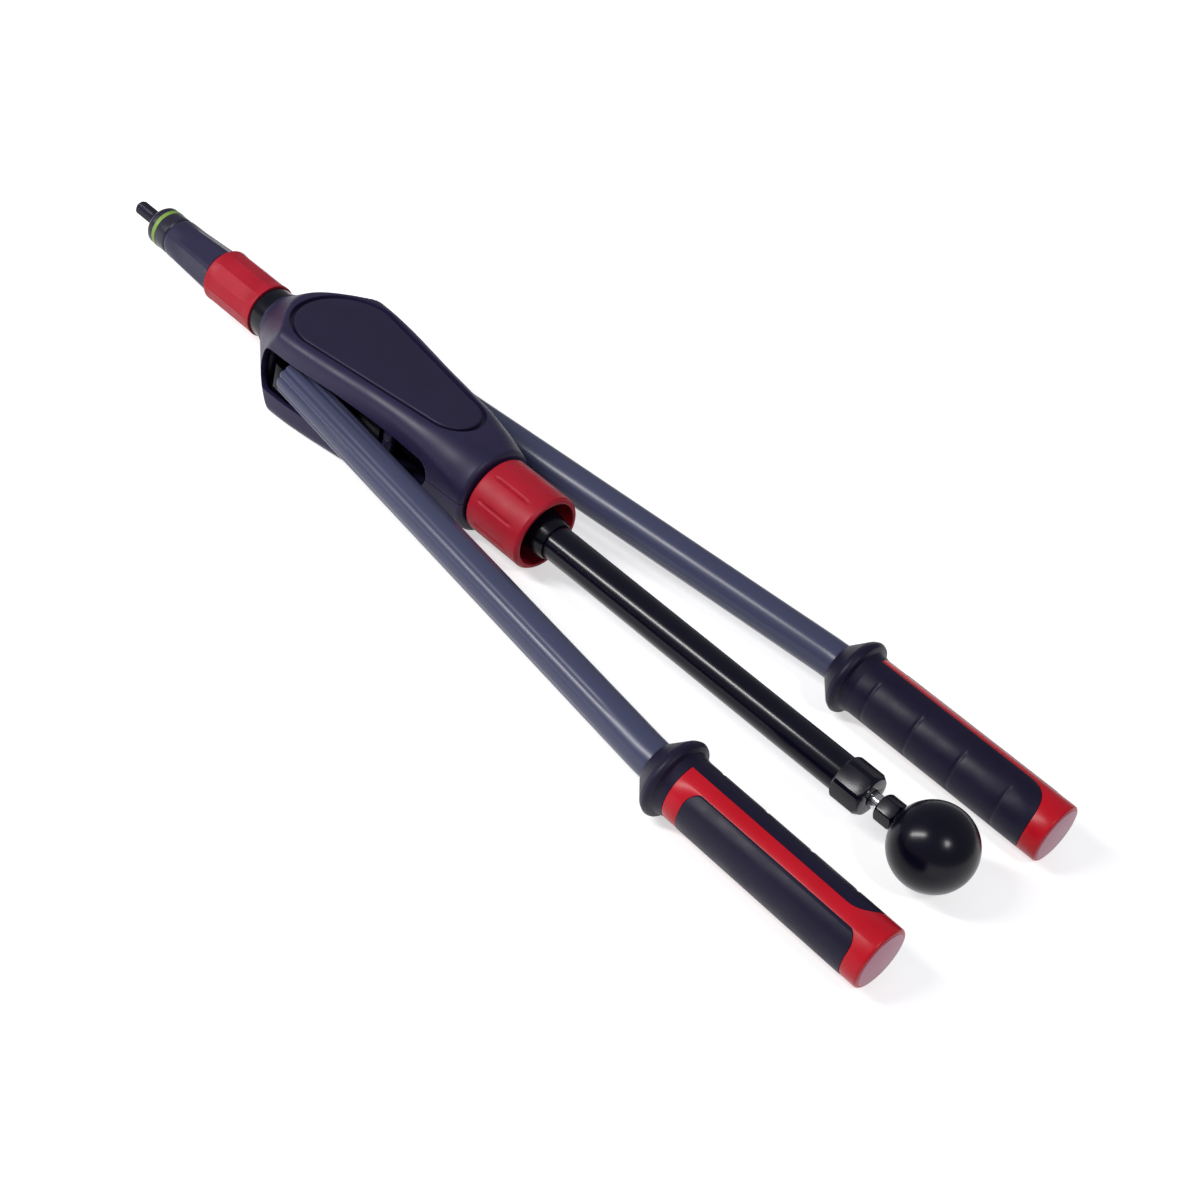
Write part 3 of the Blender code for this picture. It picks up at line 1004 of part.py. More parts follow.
# Mandrel and spindle
def make_spindle():
    body_rear = MANDREL_BODY_FRONT + MANDREL_BODY_LENGTH
    turned("mandrel", [
        (MANDREL_TIP, 0.0), (MANDREL_TIP, MANDREL_RADIUS - MANDREL_TIP_BEVEL),
        (MANDREL_TIP + MANDREL_TIP_BEVEL, MANDREL_RADIUS), (MANDREL_BODY_FRONT, MANDREL_RADIUS),
        (MANDREL_BODY_FRONT, MANDREL_BODY_RADIUS), (body_rear, MANDREL_BODY_RADIUS), (body_rear, 0.0)],
        AXIS, BLACK_STEEL, steps=20, hollow=False)
    socket_rear = body_rear + SEAT_GAP
    spigot_front = CHUCK_REAR - SPIGOT_LENGTH
    turned("chuck", [
        (CHUCK_FRONT, CHUCK_RADIUS), (CHUCK_REAR, CHUCK_RADIUS), (CHUCK_REAR, SPIGOT_RADIUS + SEAT_GAP),
        (spigot_front - SEAT_GAP, SPIGOT_RADIUS + SEAT_GAP), (spigot_front - SEAT_GAP, 1.5 * MM),
        (socket_rear, 1.5 * MM), (socket_rear, MANDREL_BODY_RADIUS + SEAT_GAP),
        (CHUCK_FRONT, MANDREL_BODY_RADIUS + SEAT_GAP)], AXIS, STEEL, steps=20)
    flange_rear = FLANGE_FRONT + THRUST_FLANGE_THICKNESS
    tube_front = SPINDLE_STEP + SEAT_GAP
    turned("spindle_shaft", [
        (spigot_front, 0.0), (spigot_front, SPIGOT_RADIUS), (CHUCK_REAR + SEAT_GAP, SPIGOT_RADIUS),
        (CHUCK_REAR + SEAT_GAP, SPINDLE_RADIUS), (FLANGE_FRONT, SPINDLE_RADIUS),
        (FLANGE_FRONT, THRUST_FLANGE_RADIUS), (flange_rear, THRUST_FLANGE_RADIUS), (flange_rear, SPINDLE_RADIUS),
        (SPINDLE_STEP, SPINDLE_RADIUS), (SPINDLE_STEP, SPIGOT_RADIUS),
        (SPINDLE_STEP + 2 * SPIGOT_LENGTH, SPIGOT_RADIUS), (SPINDLE_STEP + 2 * SPIGOT_LENGTH, 0.0)],
        AXIS, STEEL, steps=20, hollow=False)
    washer_front = THRUST_WALL_FRONT + THRUST_WALL + SEAT_GAP
    turned("thrust_washer", tube_outline(washer_front, washer_front + THRUST_WASHER_THICKNESS,
                                         THRUST_FLANGE_RADIUS, SPINDLE_RADIUS + RUN_GAP), AXIS, BRONZE, steps=20)
    turned("spindle_tube", tube_outline(tube_front, SPINDLE_TUBE_REAR, SPINDLE_TUBE_RADIUS, SPINDLE_TUBE_BORE),
           AXIS, STEEL, steps=20)
    nut_rear = DRIVE_NUT_FRONT + DRIVE_NUT_LENGTH
    skirt_rear = SPINDLE_TUBE_REAR + SEAT_GAP
    skirt_bore = SPINDLE_TUBE_RADIUS + SEAT_GAP
    nut = turned("drive_nut", [
        (DRIVE_NUT_FRONT, DRIVE_NUT_RADIUS), (nut_rear, DRIVE_NUT_RADIUS), (nut_rear, DRIVE_NUT_BORE),
        (skirt_rear, DRIVE_NUT_BORE), (skirt_rear, skirt_bore), (DRIVE_NUT_FRONT, skirt_bore)],
        AXIS, BRONZE, steps=20)
    station = (skirt_rear + nut_rear) / 2
    for i in range(2):
        angle = math.tau * (station - ROD_FRONT) / ROD_LEAD + i * math.pi
        tooth = bmesh.new()
        upright = Matrix.Rotation(angle, 4, "X") @ Matrix.Rotation(-math.pi / 2, 4, "X")
        middle = Matrix.Translation((station, 0.0, 0.0)) @ upright @ Matrix.Translation((0.0, 0.0, 4.2 * MM))
        bmesh.ops.create_cone(tooth, cap_ends=True, segments=12, radius1=0.2 * MM, radius2=1.0 * MM,
                              depth=2.0 * MM, matrix=middle)
        mesh = bpy.data.meshes.new("drive_tooth_%d" % (i + 1))
        tooth.to_mesh(mesh)
        tooth.free()
        combine(nut, place("drive_tooth_%d" % (i + 1), mesh, AXIS), "UNION")


def spiral_section(x, angle):
    """The rod's round section with two opposite grooves, turned by an angle."""
    ring = []
    for i in range(12):
        share = (0.0, 24.0, 57.0, 90.0, 123.0, 156.0)[i % 6] + 180.0 * (i // 6)
        radius = ROD_GROOVE_RADIUS if i % 6 == 0 else ROD_RADIUS
        around = math.radians(share) + angle
        ring.append((x, radius * math.cos(around), radius * math.sin(around)))
    return ring


def make_rod():
    """The spiral rod with its ball knob; the grooves turn the drive nut as the rod slides."""
    steps_per_turn = 10
    count = round((ROD_SPIRAL_REAR - ROD_FRONT) / ROD_LEAD * steps_per_turn)
    end = KNOB_CENTRE - KNOB_RADIUS + ROD_IN_BALL
    rings = []
    for i in range(count + 1):
        x = ROD_FRONT + (ROD_SPIRAL_REAR - ROD_FRONT) * i / count
        rings.append(spiral_section(x, math.tau * (x - ROD_FRONT) / ROD_LEAD))
    last = math.tau * (ROD_SPIRAL_REAR - ROD_FRONT) / ROD_LEAD
    round_end = [(end, ROD_RADIUS * math.cos(last + math.tau * i / 12),
                  ROD_RADIUS * math.sin(last + math.tau * i / 12)) for i in range(12)]
    round_start = [(ROD_SPIRAL_REAR + 2.0 * MM, y, z) for _, y, z in round_end]
    loft("spiral_rod", rings + [round_start, round_end], AXIS, BRIGHT_STEEL)

    nut_front = ROD_NUT_REAR - ROD_NUT_LENGTH
    nut = flat("rod_nut", [polygon(6, ROD_NUT_FLAT), arc((0.0, 0.0), ROD_RADIUS + SEAT_GAP, 0.0, 337.5, 15)],
               ROD_NUT_LENGTH, AXIS, ((nut_front + ROD_NUT_REAR) / 2, 0.0, 0.0), (math.pi / 2, 0.0, math.pi / 2),
               BLACK_STEEL)
    soften(nut, 0.5 * MM)
    front = KNOB_CENTRE - KNOB_RADIUS
    flat_station = KNOB_CENTRE - math.sqrt(KNOB_RADIUS ** 2 - KNOB_FLAT_RADIUS ** 2)
    start = math.degrees(math.asin(KNOB_FLAT_RADIUS / KNOB_RADIUS))
    outline = [(KNOB_CENTRE - KNOB_RADIUS * math.cos(math.radians(start + (180.0 - start) * i / 12)),
                KNOB_RADIUS * math.sin(math.radians(start + (180.0 - start) * i / 12))) for i in range(13)]
    outline[-1] = (KNOB_CENTRE + KNOB_RADIUS, 0.0)
    bore = ROD_RADIUS + SEAT_GAP
    bore_end = front + ROD_IN_BALL + SEAT_GAP
    outline = outline + [(bore_end, 0.0), (bore_end, bore), (flat_station, bore)]
    turned("ball_knob", outline, AXIS, BALL_BLACK, steps=24, hollow=True)


def soften(piece, width, segments=1):
    """Bevel the sharp edges of a piece."""
    bevel = piece.modifiers.new("Edges", "BEVEL")
    bevel.width = width
    bevel.segments = segments
    bevel.limit_method = "ANGLE"
    bevel.angle_limit = math.radians(40.0)


def make_rear_tube():
    turned("centre_tube", tube_outline(CENTRE_TUBE_FRONT, CENTRE_TUBE_REAR, CENTRE_TUBE_RADIUS,
                                       CENTRE_TUBE_RADIUS - CENTRE_TUBE_WALL), AXIS, TUBE_BLACK, steps=28)
    rear = COLLAR_FRONT + COLLAR_LENGTH
    collar = flat("tube_collar", [polygon(6, COLLAR_FLAT)], COLLAR_LENGTH, AXIS,
                  ((COLLAR_FRONT + rear) / 2, 0.0, 0.0), (math.pi / 2, 0.0, math.pi / 2), TUBE_BLACK)
    rounding = [(COLLAR_FRONT - MM, 0.0), (COLLAR_FRONT - MM, COLLAR_ROUND - 0.6 * MM),
                (COLLAR_FRONT + 1.2 * MM, COLLAR_ROUND), (rear - 1.2 * MM, COLLAR_ROUND),
                (rear + MM, COLLAR_ROUND - 2.0 * MM), (rear + MM, 0.0)]
    combine(collar, turned("collar_rounding", rounding, AXIS, hollow=False), "INTERSECT")
    seat = CENTRE_TUBE_REAR + SEAT_GAP
    bore = [(COLLAR_FRONT - MM, 0.0), (COLLAR_FRONT - MM, CENTRE_TUBE_RADIUS + SEAT_GAP),
            (seat, CENTRE_TUBE_RADIUS + SEAT_GAP), (seat, ROD_RADIUS + RUN_GAP), (rear + MM, ROD_RADIUS + RUN_GAP),
            (rear + MM, 0.0)]
    combine(collar, turned("collar_bore", bore, AXIS, hollow=False, steps=20))


def make_adjuster():
    """The rear ring and the stop sleeve that it screws along the barrel through two slots."""
    rear = ADJUSTER_FRONT + ADJUSTER_LENGTH
    hub_bore = BARREL_RADIUS + RUN_GAP
    groove_front = STOP_LUG_STATION - SEAT_GAP
    groove_rear = STOP_LUG_STATION + STOP_LUG_LENGTH + STOP_TRAVEL + SEAT_GAP
    groove = STOP_LUG_RADIUS + RUN_GAP
    ring = turned("adjuster_ring", [
        (ADJUSTER_FRONT, ADJUSTER_RADIUS - MM), (ADJUSTER_FRONT + MM, ADJUSTER_RADIUS),
        (rear - 1.5 * MM, ADJUSTER_RADIUS), (rear, ADJUSTER_RADIUS - MM), (rear, ADJUSTER_RIM_BORE),
        (ADJUSTER_HUB_REAR, ADJUSTER_RIM_BORE), (ADJUSTER_HUB_REAR, hub_bore), (groove_rear, hub_bore),
        (groove_rear, groove), (groove_front, groove), (groove_front, hub_bore), (ADJUSTER_FRONT, hub_bore)],
        AXIS, RING_RED, steps=36)
    cut_grooves(ring, ADJUSTER_GROOVE_COUNT, ADJUSTER_RADIUS, ADJUSTER_GROOVE_DEPTH, ADJUSTER_GROOVE_HALF_WIDTH,
                (ADJUSTER_FRONT + 4.0 * MM, rear - 6.0 * MM))
    stop = turned("stop_sleeve", tube_outline(STOP_SLEEVE_FRONT, STOP_SLEEVE_REAR, STOP_SLEEVE_RADIUS,
                                              STOP_SLEEVE_BORE), AXIS, STEEL, steps=20)
    half = STOP_LUG_WIDTH / 2
    inner = (STOP_SLEEVE_RADIUS + STOP_SLEEVE_BORE) / 2
    for word, up in (("upper", 1), ("lower", -1)):
        low, high = sorted((up * inner, up * STOP_LUG_RADIUS))
        lug = block("stop_lug_" + word, (STOP_LUG_STATION, -half, low),
                    (STOP_LUG_STATION + STOP_LUG_LENGTH, half, high), AXIS)
        round_off = rod_outline(STOP_LUG_STATION - MM, STOP_LUG_STATION + STOP_LUG_LENGTH + MM, STOP_LUG_RADIUS)
        combine(lug, turned("stop_lug_round_" + word, round_off, AXIS, hollow=False), "INTERSECT")
        combine(stop, lug, "UNION")


# Build
def rear_end(grip_frames):
    """The farthest station that a grip's end face reaches."""
    bpy.context.view_layer.update()
    reach = []
    for frame in grip_frames:
        end = frame.matrix_world @ Vector((GRIP_LENGTH, 0.0, 0.0))
        ahead = frame.matrix_world.to_3x3() @ Vector((1.0, 0.0, 0.0))
        reach.append(end.x + (GRIP_RADIUS - 0.6 * MM) * math.sqrt(max(0.0, 1.0 - ahead.x ** 2)))
    return max(reach)


clear_scene()
PARTS = collection("rivet_nut_tool")
CUTTERS = collection("cutters")
SHELL_PLASTIC = material("shell_plastic", (0.026, 0.024, 0.048), 0.5)
PANEL_RUBBER = material("panel_rubber", (0.022, 0.020, 0.036), 0.7)
STEEL = material("plain_steel", (0.28, 0.28, 0.30), 0.35, 1.0)
BRIGHT_STEEL = material("bright_steel", (0.62, 0.62, 0.64), 0.25, 1.0)
BLACK_STEEL = material("black_steel", (0.018, 0.018, 0.026), 0.42, 0.6)
ALUMINIUM = material("cast_aluminium", (0.03, 0.03, 0.04), 0.5, 0.7)
BRONZE = material("bronze", (0.45, 0.28, 0.12), 0.4, 1.0)
ARM_PAINT = material("arm_paint", (0.060, 0.066, 0.125), 0.3, 0.2)
TUBE_BLACK = material("tube_black", (0.008, 0.008, 0.014), 0.2)
BALL_BLACK = material("ball_black", (0.010, 0.009, 0.020), 0.22)
RING_RED = material("ring_red", (0.52, 0.022, 0.040), 0.4)
RING_GREEN = material("ring_green", (0.22, 0.42, 0.06), 0.45)
GRIP_RED = material("grip_red", (0.50, 0.010, 0.020), 0.35)
GRIP_RUBBER = material("grip_rubber", (0.022, 0.020, 0.036), 0.6)

AXIS = empty("tool_axis")
make_housing()
make_frame()
GRIPS = [make_arm("left", LEFT), make_arm("right", RIGHT)]
make_nose()
make_spindle()
make_rod()
make_rear_tube()
make_adjuster()
AXIS.location = (-(MANDREL_TIP + rear_end(GRIPS)) / 2, 0.0, HOUSING_HALF_HEIGHT)
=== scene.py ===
"""Long-arm rivet nut tool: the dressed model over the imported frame.

Lengths are in metres, and in millimetres where they are multiplied by MM. Stations along the tool are
measured from the line through the two arm pivots, with the nose towards -X. The tool lies on the floor
at Z = 0.
"""
import math

import bmesh
import bpy
from mathutils import Matrix, Vector


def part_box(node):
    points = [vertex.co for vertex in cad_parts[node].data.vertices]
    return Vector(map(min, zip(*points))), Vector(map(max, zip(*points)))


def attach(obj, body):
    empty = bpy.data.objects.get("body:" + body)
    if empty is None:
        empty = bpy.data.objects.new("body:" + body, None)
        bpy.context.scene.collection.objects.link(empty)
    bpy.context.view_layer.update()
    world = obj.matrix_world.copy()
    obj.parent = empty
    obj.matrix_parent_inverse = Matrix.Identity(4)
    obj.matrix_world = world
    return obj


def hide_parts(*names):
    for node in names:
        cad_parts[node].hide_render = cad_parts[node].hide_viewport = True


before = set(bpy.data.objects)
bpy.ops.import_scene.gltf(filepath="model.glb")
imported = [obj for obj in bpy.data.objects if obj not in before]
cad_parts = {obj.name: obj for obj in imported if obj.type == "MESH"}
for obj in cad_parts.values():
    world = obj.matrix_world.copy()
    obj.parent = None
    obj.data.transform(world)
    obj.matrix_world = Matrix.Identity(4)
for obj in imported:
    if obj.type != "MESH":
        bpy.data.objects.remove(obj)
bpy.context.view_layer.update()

MM = 0.001
PIVOT_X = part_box("mandrel")[0].x + 156.0 * MM
HALF_HEIGHT = 24.4
AXIS_Z = HALF_HEIGHT * MM
AXIS = Vector((PIVOT_X, 0.0, AXIS_Z))


# Camera, floor and lamps
def make_camera():
    """The photograph's view: from above the rear of the right arm, with the tool laid across the frame."""
    azimuth, rise, roll = math.radians(34.7), math.radians(37.187), math.radians(16.471)
    target = Vector((0.07746, -0.01171, 0.0244))
    distance = 0.955001
    back = Vector((math.sin(azimuth) * math.cos(rise), -math.cos(azimuth) * math.cos(rise), math.sin(rise)))
    right = (-back).cross(Vector((0.0, 0.0, 1.0))).normalized()
    up = right.cross(-back)
    across = right * math.cos(roll) + up * math.sin(roll)
    upward = up * math.cos(roll) - right * math.sin(roll)
    lens = bpy.data.cameras.new("view")
    lens.lens = 63.04
    lens.sensor_width = 36.0
    lens.sensor_fit = "HORIZONTAL"
    lens.clip_start = 0.02
    lens.clip_end = 30.0
    camera = bpy.data.objects.new("view", lens)
    camera.matrix_world = Matrix.Translation(target + back * distance) @ Matrix(
        (across, upward, back)).transposed().to_4x4()
    bpy.context.scene.collection.objects.link(camera)
    bpy.context.scene.camera = camera


def make_lamp(name, start, end, aim, width, power):
    """A soft strip lamp that hangs from one point to another, turned towards the point that it lights."""
    light = bpy.data.lights.new(name, "AREA")
    light.shape = "RECTANGLE"
    light.size = (end - start).length
    light.size_y = width
    light.energy = power
    light.color = (1.0, 0.99, 0.985)
    place = (start + end) / 2
    back = (place - aim).normalized()
    along = (end - start).normalized()
    across = back.cross(along).normalized()
    along = across.cross(back)
    lamp = bpy.data.objects.new(name, light)
    lamp.matrix_world = Matrix.Translation(place) @ Matrix((along, across, back)).transposed().to_4x4()
    bpy.context.scene.collection.objects.link(lamp)


# The floor's own glow near the tool, what it gains further off, and the distances between which it gains it
NEAR_GLOW, FAR_GLOW = 0.57, 0.30
NEAR_REACH, FAR_REACH = 0.45, 1.6
SKY_STRENGTH = 0.31
# Lamps: name, both ends measured from the ball knob's centre, width and power
LAMPS = (("strip_lamp", (-1.077, -0.905, 0.522), (-0.420, -0.866, 1.134), 0.13, 15.0),
         ("side_lamp", (0.706, -0.338, 1.206), (0.946, -0.338, 1.206), 0.24, 6.0))


def make_studio():
    """A plain pale floor, an even sky, a long strip lamp in front of the tool and a square one behind its end."""
    bpy.ops.object.select_all(action="DESELECT")
    bpy.ops.mesh.primitive_plane_add(size=14.0, location=(0.0, 0.0, 0.0))
    floor = bpy.context.active_object
    floor.name = "floor"
    paper = bpy.data.materials.new("floor_paper")
    paper.use_nodes = True
    tree = paper.node_tree
    shader = tree.nodes["Principled BSDF"]
    shader.inputs["Roughness"].default_value = 1.0
    shader.inputs["Specular IOR Level"].default_value = 0.0
    shader.inputs["Emission Color"].default_value = (1.0, 1.0, 1.0, 1.0)
    place = tree.nodes.new("ShaderNodeTexCoord")
    mottle = tree.nodes.new("ShaderNodeTexNoise")
    mottle.inputs["Scale"].default_value = 3.0
    shade = tree.nodes.new("ShaderNodeValToRGB")
    shade.color_ramp.elements[0].color = (0.70, 0.70, 0.71, 1.0)
    shade.color_ramp.elements[1].color = (0.73, 0.73, 0.735, 1.0)
    tree.links.new(place.outputs["Object"], mottle.inputs["Vector"])
    tree.links.new(mottle.outputs["Fac"], shade.inputs["Fac"])
    tree.links.new(shade.outputs["Color"], shader.inputs["Base Color"])
    rays = tree.nodes.new("ShaderNodeLightPath")
    seen = tree.nodes.new("ShaderNodeMath")
    seen.operation = "MAXIMUM"
    glow = tree.nodes.new("ShaderNodeMath")
    glow.operation = "MULTIPLY"
    glow.inputs[1].default_value = NEAR_GLOW
    tree.links.new(rays.outputs["Is Camera Ray"], seen.inputs[0])
    tree.links.new(rays.outputs["Is Glossy Ray"], seen.inputs[1])
    tree.links.new(seen.outputs["Value"], glow.inputs[0])
    distance = tree.nodes.new("ShaderNodeVectorMath")
    distance.operation = "LENGTH"
    reach = tree.nodes.new("ShaderNodeMapRange")
    reach.inputs["From Min"].default_value = NEAR_REACH
    reach.inputs["From Max"].default_value = FAR_REACH
    reach.inputs["To Min"].default_value = 0.0
    reach.inputs["To Max"].default_value = FAR_GLOW
    far = tree.nodes.new("ShaderNodeMath")
    far.operation = "MULTIPLY_ADD"
    tree.links.new(place.outputs["Object"], distance.inputs[0])
    tree.links.new(distance.outputs["Value"], reach.inputs["Value"])
    tree.links.new(reach.outputs["Result"], far.inputs[0])
    tree.links.new(rays.outputs["Is Camera Ray"], far.inputs[1])
    tree.links.new(glow.outputs["Value"], far.inputs[2])
    tree.links.new(far.outputs["Value"], shader.inputs["Emission Strength"])
    floor.data.materials.append(paper)
    sky = bpy.data.worlds.new("studio")
    bpy.context.scene.world = sky
    sky.use_nodes = True
    tree = sky.node_tree
    light = tree.nodes["Background"]
    light.inputs["Color"].default_value = (0.90, 0.92, 1.0, 1.0)
    light.inputs["Strength"].default_value = SKY_STRENGTH
    backdrop = tree.nodes.new("ShaderNodeBackground")
    backdrop.inputs["Color"].default_value = (1.0, 1.0, 1.0, 1.0)
    backdrop.inputs["Strength"].default_value = 1.0
    rays = tree.nodes.new("ShaderNodeLightPath")
    choice = tree.nodes.new("ShaderNodeMixShader")
    tree.links.new(rays.outputs["Is Camera Ray"], choice.inputs["Fac"])
    tree.links.new(light.outputs["Background"], choice.inputs[1])
    tree.links.new(backdrop.outputs["Background"], choice.inputs[2])
    tree.links.new(choice.outputs["Shader"], tree.nodes["World Output"].inputs["Surface"])
    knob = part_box("ball_knob")
    middle = (knob[0] + knob[1]) / 2
    aim = Vector((0.05, 0.0, 0.02))
    for name, start, end, width, power in LAMPS:
        make_lamp(name, middle + Vector(start), middle + Vector(end), aim, width, power)
    bpy.context.scene.view_settings.view_transform = "Standard"


# Finishes
def finish(name, colours, roughness, grain, bump, metallic=0.0, specular=0.5, stretch=(1.0, 1.0, 1.0)):
    """A procedural finish: mottled colour, uneven gloss and a fine surface grain.

    colours are the dark and light tone, roughness its lowest and highest value, grain the size of the
    grain and of the mottling, and bump the height of the grain.
    """
    made = bpy.data.materials.new(name)
    made.use_nodes = True
    tree = made.node_tree
    shader = tree.nodes["Principled BSDF"]
    shader.inputs["Metallic"].default_value = metallic
    shader.inputs["Specular IOR Level"].default_value = specular
    place = tree.nodes.new("ShaderNodeTexCoord")
    turn = tree.nodes.new("ShaderNodeMapping")
    turn.inputs["Scale"].default_value = stretch
    tree.links.new(place.outputs["Object"], turn.inputs["Vector"])

    def noise(scale, detail):
        made_noise = tree.nodes.new("ShaderNodeTexNoise")
        made_noise.inputs["Scale"].default_value = scale
        made_noise.inputs["Detail"].default_value = detail
        tree.links.new(turn.outputs["Vector"], made_noise.inputs["Vector"])
        return made_noise.outputs["Fac"]

    def ramp(source, low, high, first, last):
        made_ramp = tree.nodes.new("ShaderNodeValToRGB")
        made_ramp.color_ramp.elements[0].position = first
        made_ramp.color_ramp.elements[1].position = last
        made_ramp.color_ramp.elements[0].color = (*low, 1.0)
        made_ramp.color_ramp.elements[1].color = (*high, 1.0)
        tree.links.new(source, made_ramp.inputs["Fac"])
        return made_ramp.outputs["Color"]

    mottling = noise(1.0 / grain[1], 4.0)
    tree.links.new(ramp(mottling, colours[0], colours[1], 0.32, 0.68), shader.inputs["Base Color"])
    patches = noise(2.3 / grain[1], 6.0)
    spread = tree.nodes.new("ShaderNodeMapRange")
    spread.inputs["From Min"].default_value = 0.35
    spread.inputs["From Max"].default_value = 0.65
    spread.inputs["To Min"].default_value = roughness[0]
    spread.inputs["To Max"].default_value = roughness[1]
    tree.links.new(patches, spread.inputs["Value"])
    tree.links.new(spread.outputs["Result"], shader.inputs["Roughness"])
    fine = noise(1.0 / grain[0], 2.0)
    relief = tree.nodes.new("ShaderNodeBump")
    relief.inputs["Strength"].default_value = 0.5
    relief.inputs["Distance"].default_value = bump
    tree.links.new(fine, relief.inputs["Height"])
    tree.links.new(relief.outputs["Normal"], shader.inputs["Normal"])
    return made


FINISH = {
    "shell_plastic": finish("shell_plastic", ((0.0138, 0.0104, 0.040), (0.0170, 0.0130, 0.047)), (0.39, 0.47),
                            (0.35 * MM, 40.0 * MM), 0.03 * MM, specular=0.30),
    "panel_rubber": finish("panel_rubber", ((0.0128, 0.0093, 0.033), (0.0150, 0.0112, 0.038)), (0.46, 0.56),
                           (0.25 * MM, 30.0 * MM), 0.04 * MM, specular=0.26),
    # Steel kept near black: painted shade, so that the steel parts inside the housing's slots render dark
    "plain_steel": finish("plain_steel", ((0.007, 0.007, 0.011), (0.012, 0.012, 0.017)), (0.34, 0.46),
                          (0.3 * MM, 8.0 * MM), 0.01 * MM, metallic=1.0, stretch=(6.0, 1.0, 1.0)),
    "bright_steel": finish("bright_steel", ((0.58, 0.58, 0.60), (0.70, 0.70, 0.72)), (0.14, 0.24),
                           (0.3 * MM, 9.0 * MM), 0.006 * MM, metallic=1.0, stretch=(5.0, 1.0, 1.0)),
    "black_steel": finish("black_steel", ((0.0125, 0.0112, 0.026), (0.0165, 0.0148, 0.032)), (0.30, 0.38),
                          (0.3 * MM, 12.0 * MM), 0.010 * MM, specular=0.40),
    "cast_aluminium": finish("cast_aluminium", ((0.0018, 0.0018, 0.005), (0.0028, 0.0028, 0.007)), (0.20, 0.25),
                             (0.8 * MM, 14.0 * MM), 0.002 * MM, specular=0.24),
    "bronze": finish("bronze", ((0.38, 0.23, 0.09), (0.50, 0.32, 0.15)), (0.32, 0.46),
                     (0.25 * MM, 6.0 * MM), 0.02 * MM, metallic=1.0),
    # A lighter copy of black_steel for the nose sleeve: painted light on its broad flats
    "nose_steel_painted_light": finish("nose_steel_painted_light", ((0.019, 0.017, 0.044), (0.023, 0.021, 0.052)), (0.34, 0.42),
                         (0.3 * MM, 16.0 * MM), 0.010 * MM, specular=0.24),
    "arm_paint": finish("arm_paint", ((0.044, 0.049, 0.097), (0.048, 0.053, 0.104)), (0.27, 0.30),
                        (2.0 * MM, 60.0 * MM), 0.0004 * MM, specular=0.34),
    "tube_black": finish("tube_black", ((0.0022, 0.0019, 0.0075), (0.0032, 0.0028, 0.0095)), (0.18, 0.20),
                         (2.0 * MM, 30.0 * MM), 0.0004 * MM, specular=0.27),
    "ball_black": finish("ball_black", ((0.0022, 0.0019, 0.0075), (0.0032, 0.0028, 0.0095)), (0.22, 0.25),
                         (2.0 * MM, 20.0 * MM), 0.0004 * MM, specular=0.24),
    "ring_red": finish("ring_red", ((0.33, 0.008, 0.020), (0.38, 0.011, 0.026)), (0.40, 0.48),
                       (0.4 * MM, 14.0 * MM), 0.012 * MM, specular=0.18),
    "ring_green": finish("ring_green", ((0.16, 0.27, 0.045), (0.21, 0.33, 0.07)), (0.36, 0.46),
                         (0.3 * MM, 6.0 * MM), 0.01 * MM, specular=0.4),
    "grip_red": finish("grip_red", ((0.42, 0.004, 0.012), (0.47, 0.006, 0.018)), (0.30, 0.36),
                       (0.4 * MM, 18.0 * MM), 0.008 * MM, specular=0.22),
    # Pale mauve in place of the grip's red: a painted reflection of the glare on the grips' end faces
    "end_painted_reflection": finish("end_painted_reflection", ((0.35, 0.075, 0.14), (0.38, 0.090, 0.165)), (0.30, 0.34),
                        (0.4 * MM, 30.0 * MM), 0.003 * MM, specular=0.5),
    "grip_rubber": finish("grip_rubber", ((0.0054, 0.0038, 0.0185), (0.0070, 0.0051, 0.0220)), (0.40, 0.50),
                          (0.28 * MM, 22.0 * MM), 0.04 * MM, specular=0.22),
}


# Modelling helpers
def begin(name):
    """Name the primitive that was just added and open it for editing, with all of it selected."""
    piece = bpy.context.active_object
    piece.name = name
    piece.data.name = name
    bpy.ops.object.mode_set(mode="EDIT")
    bpy.ops.mesh.select_all(action="SELECT")
    return piece


def settle(piece):
    """Close a piece: merge its doubles, face it outwards, apply its place and smooth it."""
    if bpy.context.mode != "EDIT_MESH":
        bpy.ops.object.mode_set(mode="EDIT")
    bpy.ops.mesh.select_all(action="SELECT")
    bpy.ops.mesh.remove_doubles(threshold=0.002 * MM)
    bpy.ops.mesh.delete_loose(use_verts=True, use_edges=True, use_faces=False)
    bpy.ops.mesh.select_all(action="SELECT")
    bpy.ops.mesh.normals_make_consistent(inside=False)
    bpy.ops.mesh.select_all(action="DESELECT")
    bpy.ops.object.mode_set(mode="OBJECT")
    bpy.ops.object.transform_apply(location=True, rotation=True, scale=True)
    bpy.ops.object.shade_smooth_by_angle(angle=math.radians(30.0))
    return piece


def eased(share):
    """A share from 0 to 1 that starts and ends softly."""
    return share * share * (3.0 - 2.0 * share)


def only(piece):
    """Select one piece and make it the active one."""
    bpy.ops.object.select_all(action="DESELECT")
    piece.select_set(True)
    bpy.context.view_layer.objects.active = piece
    return piece


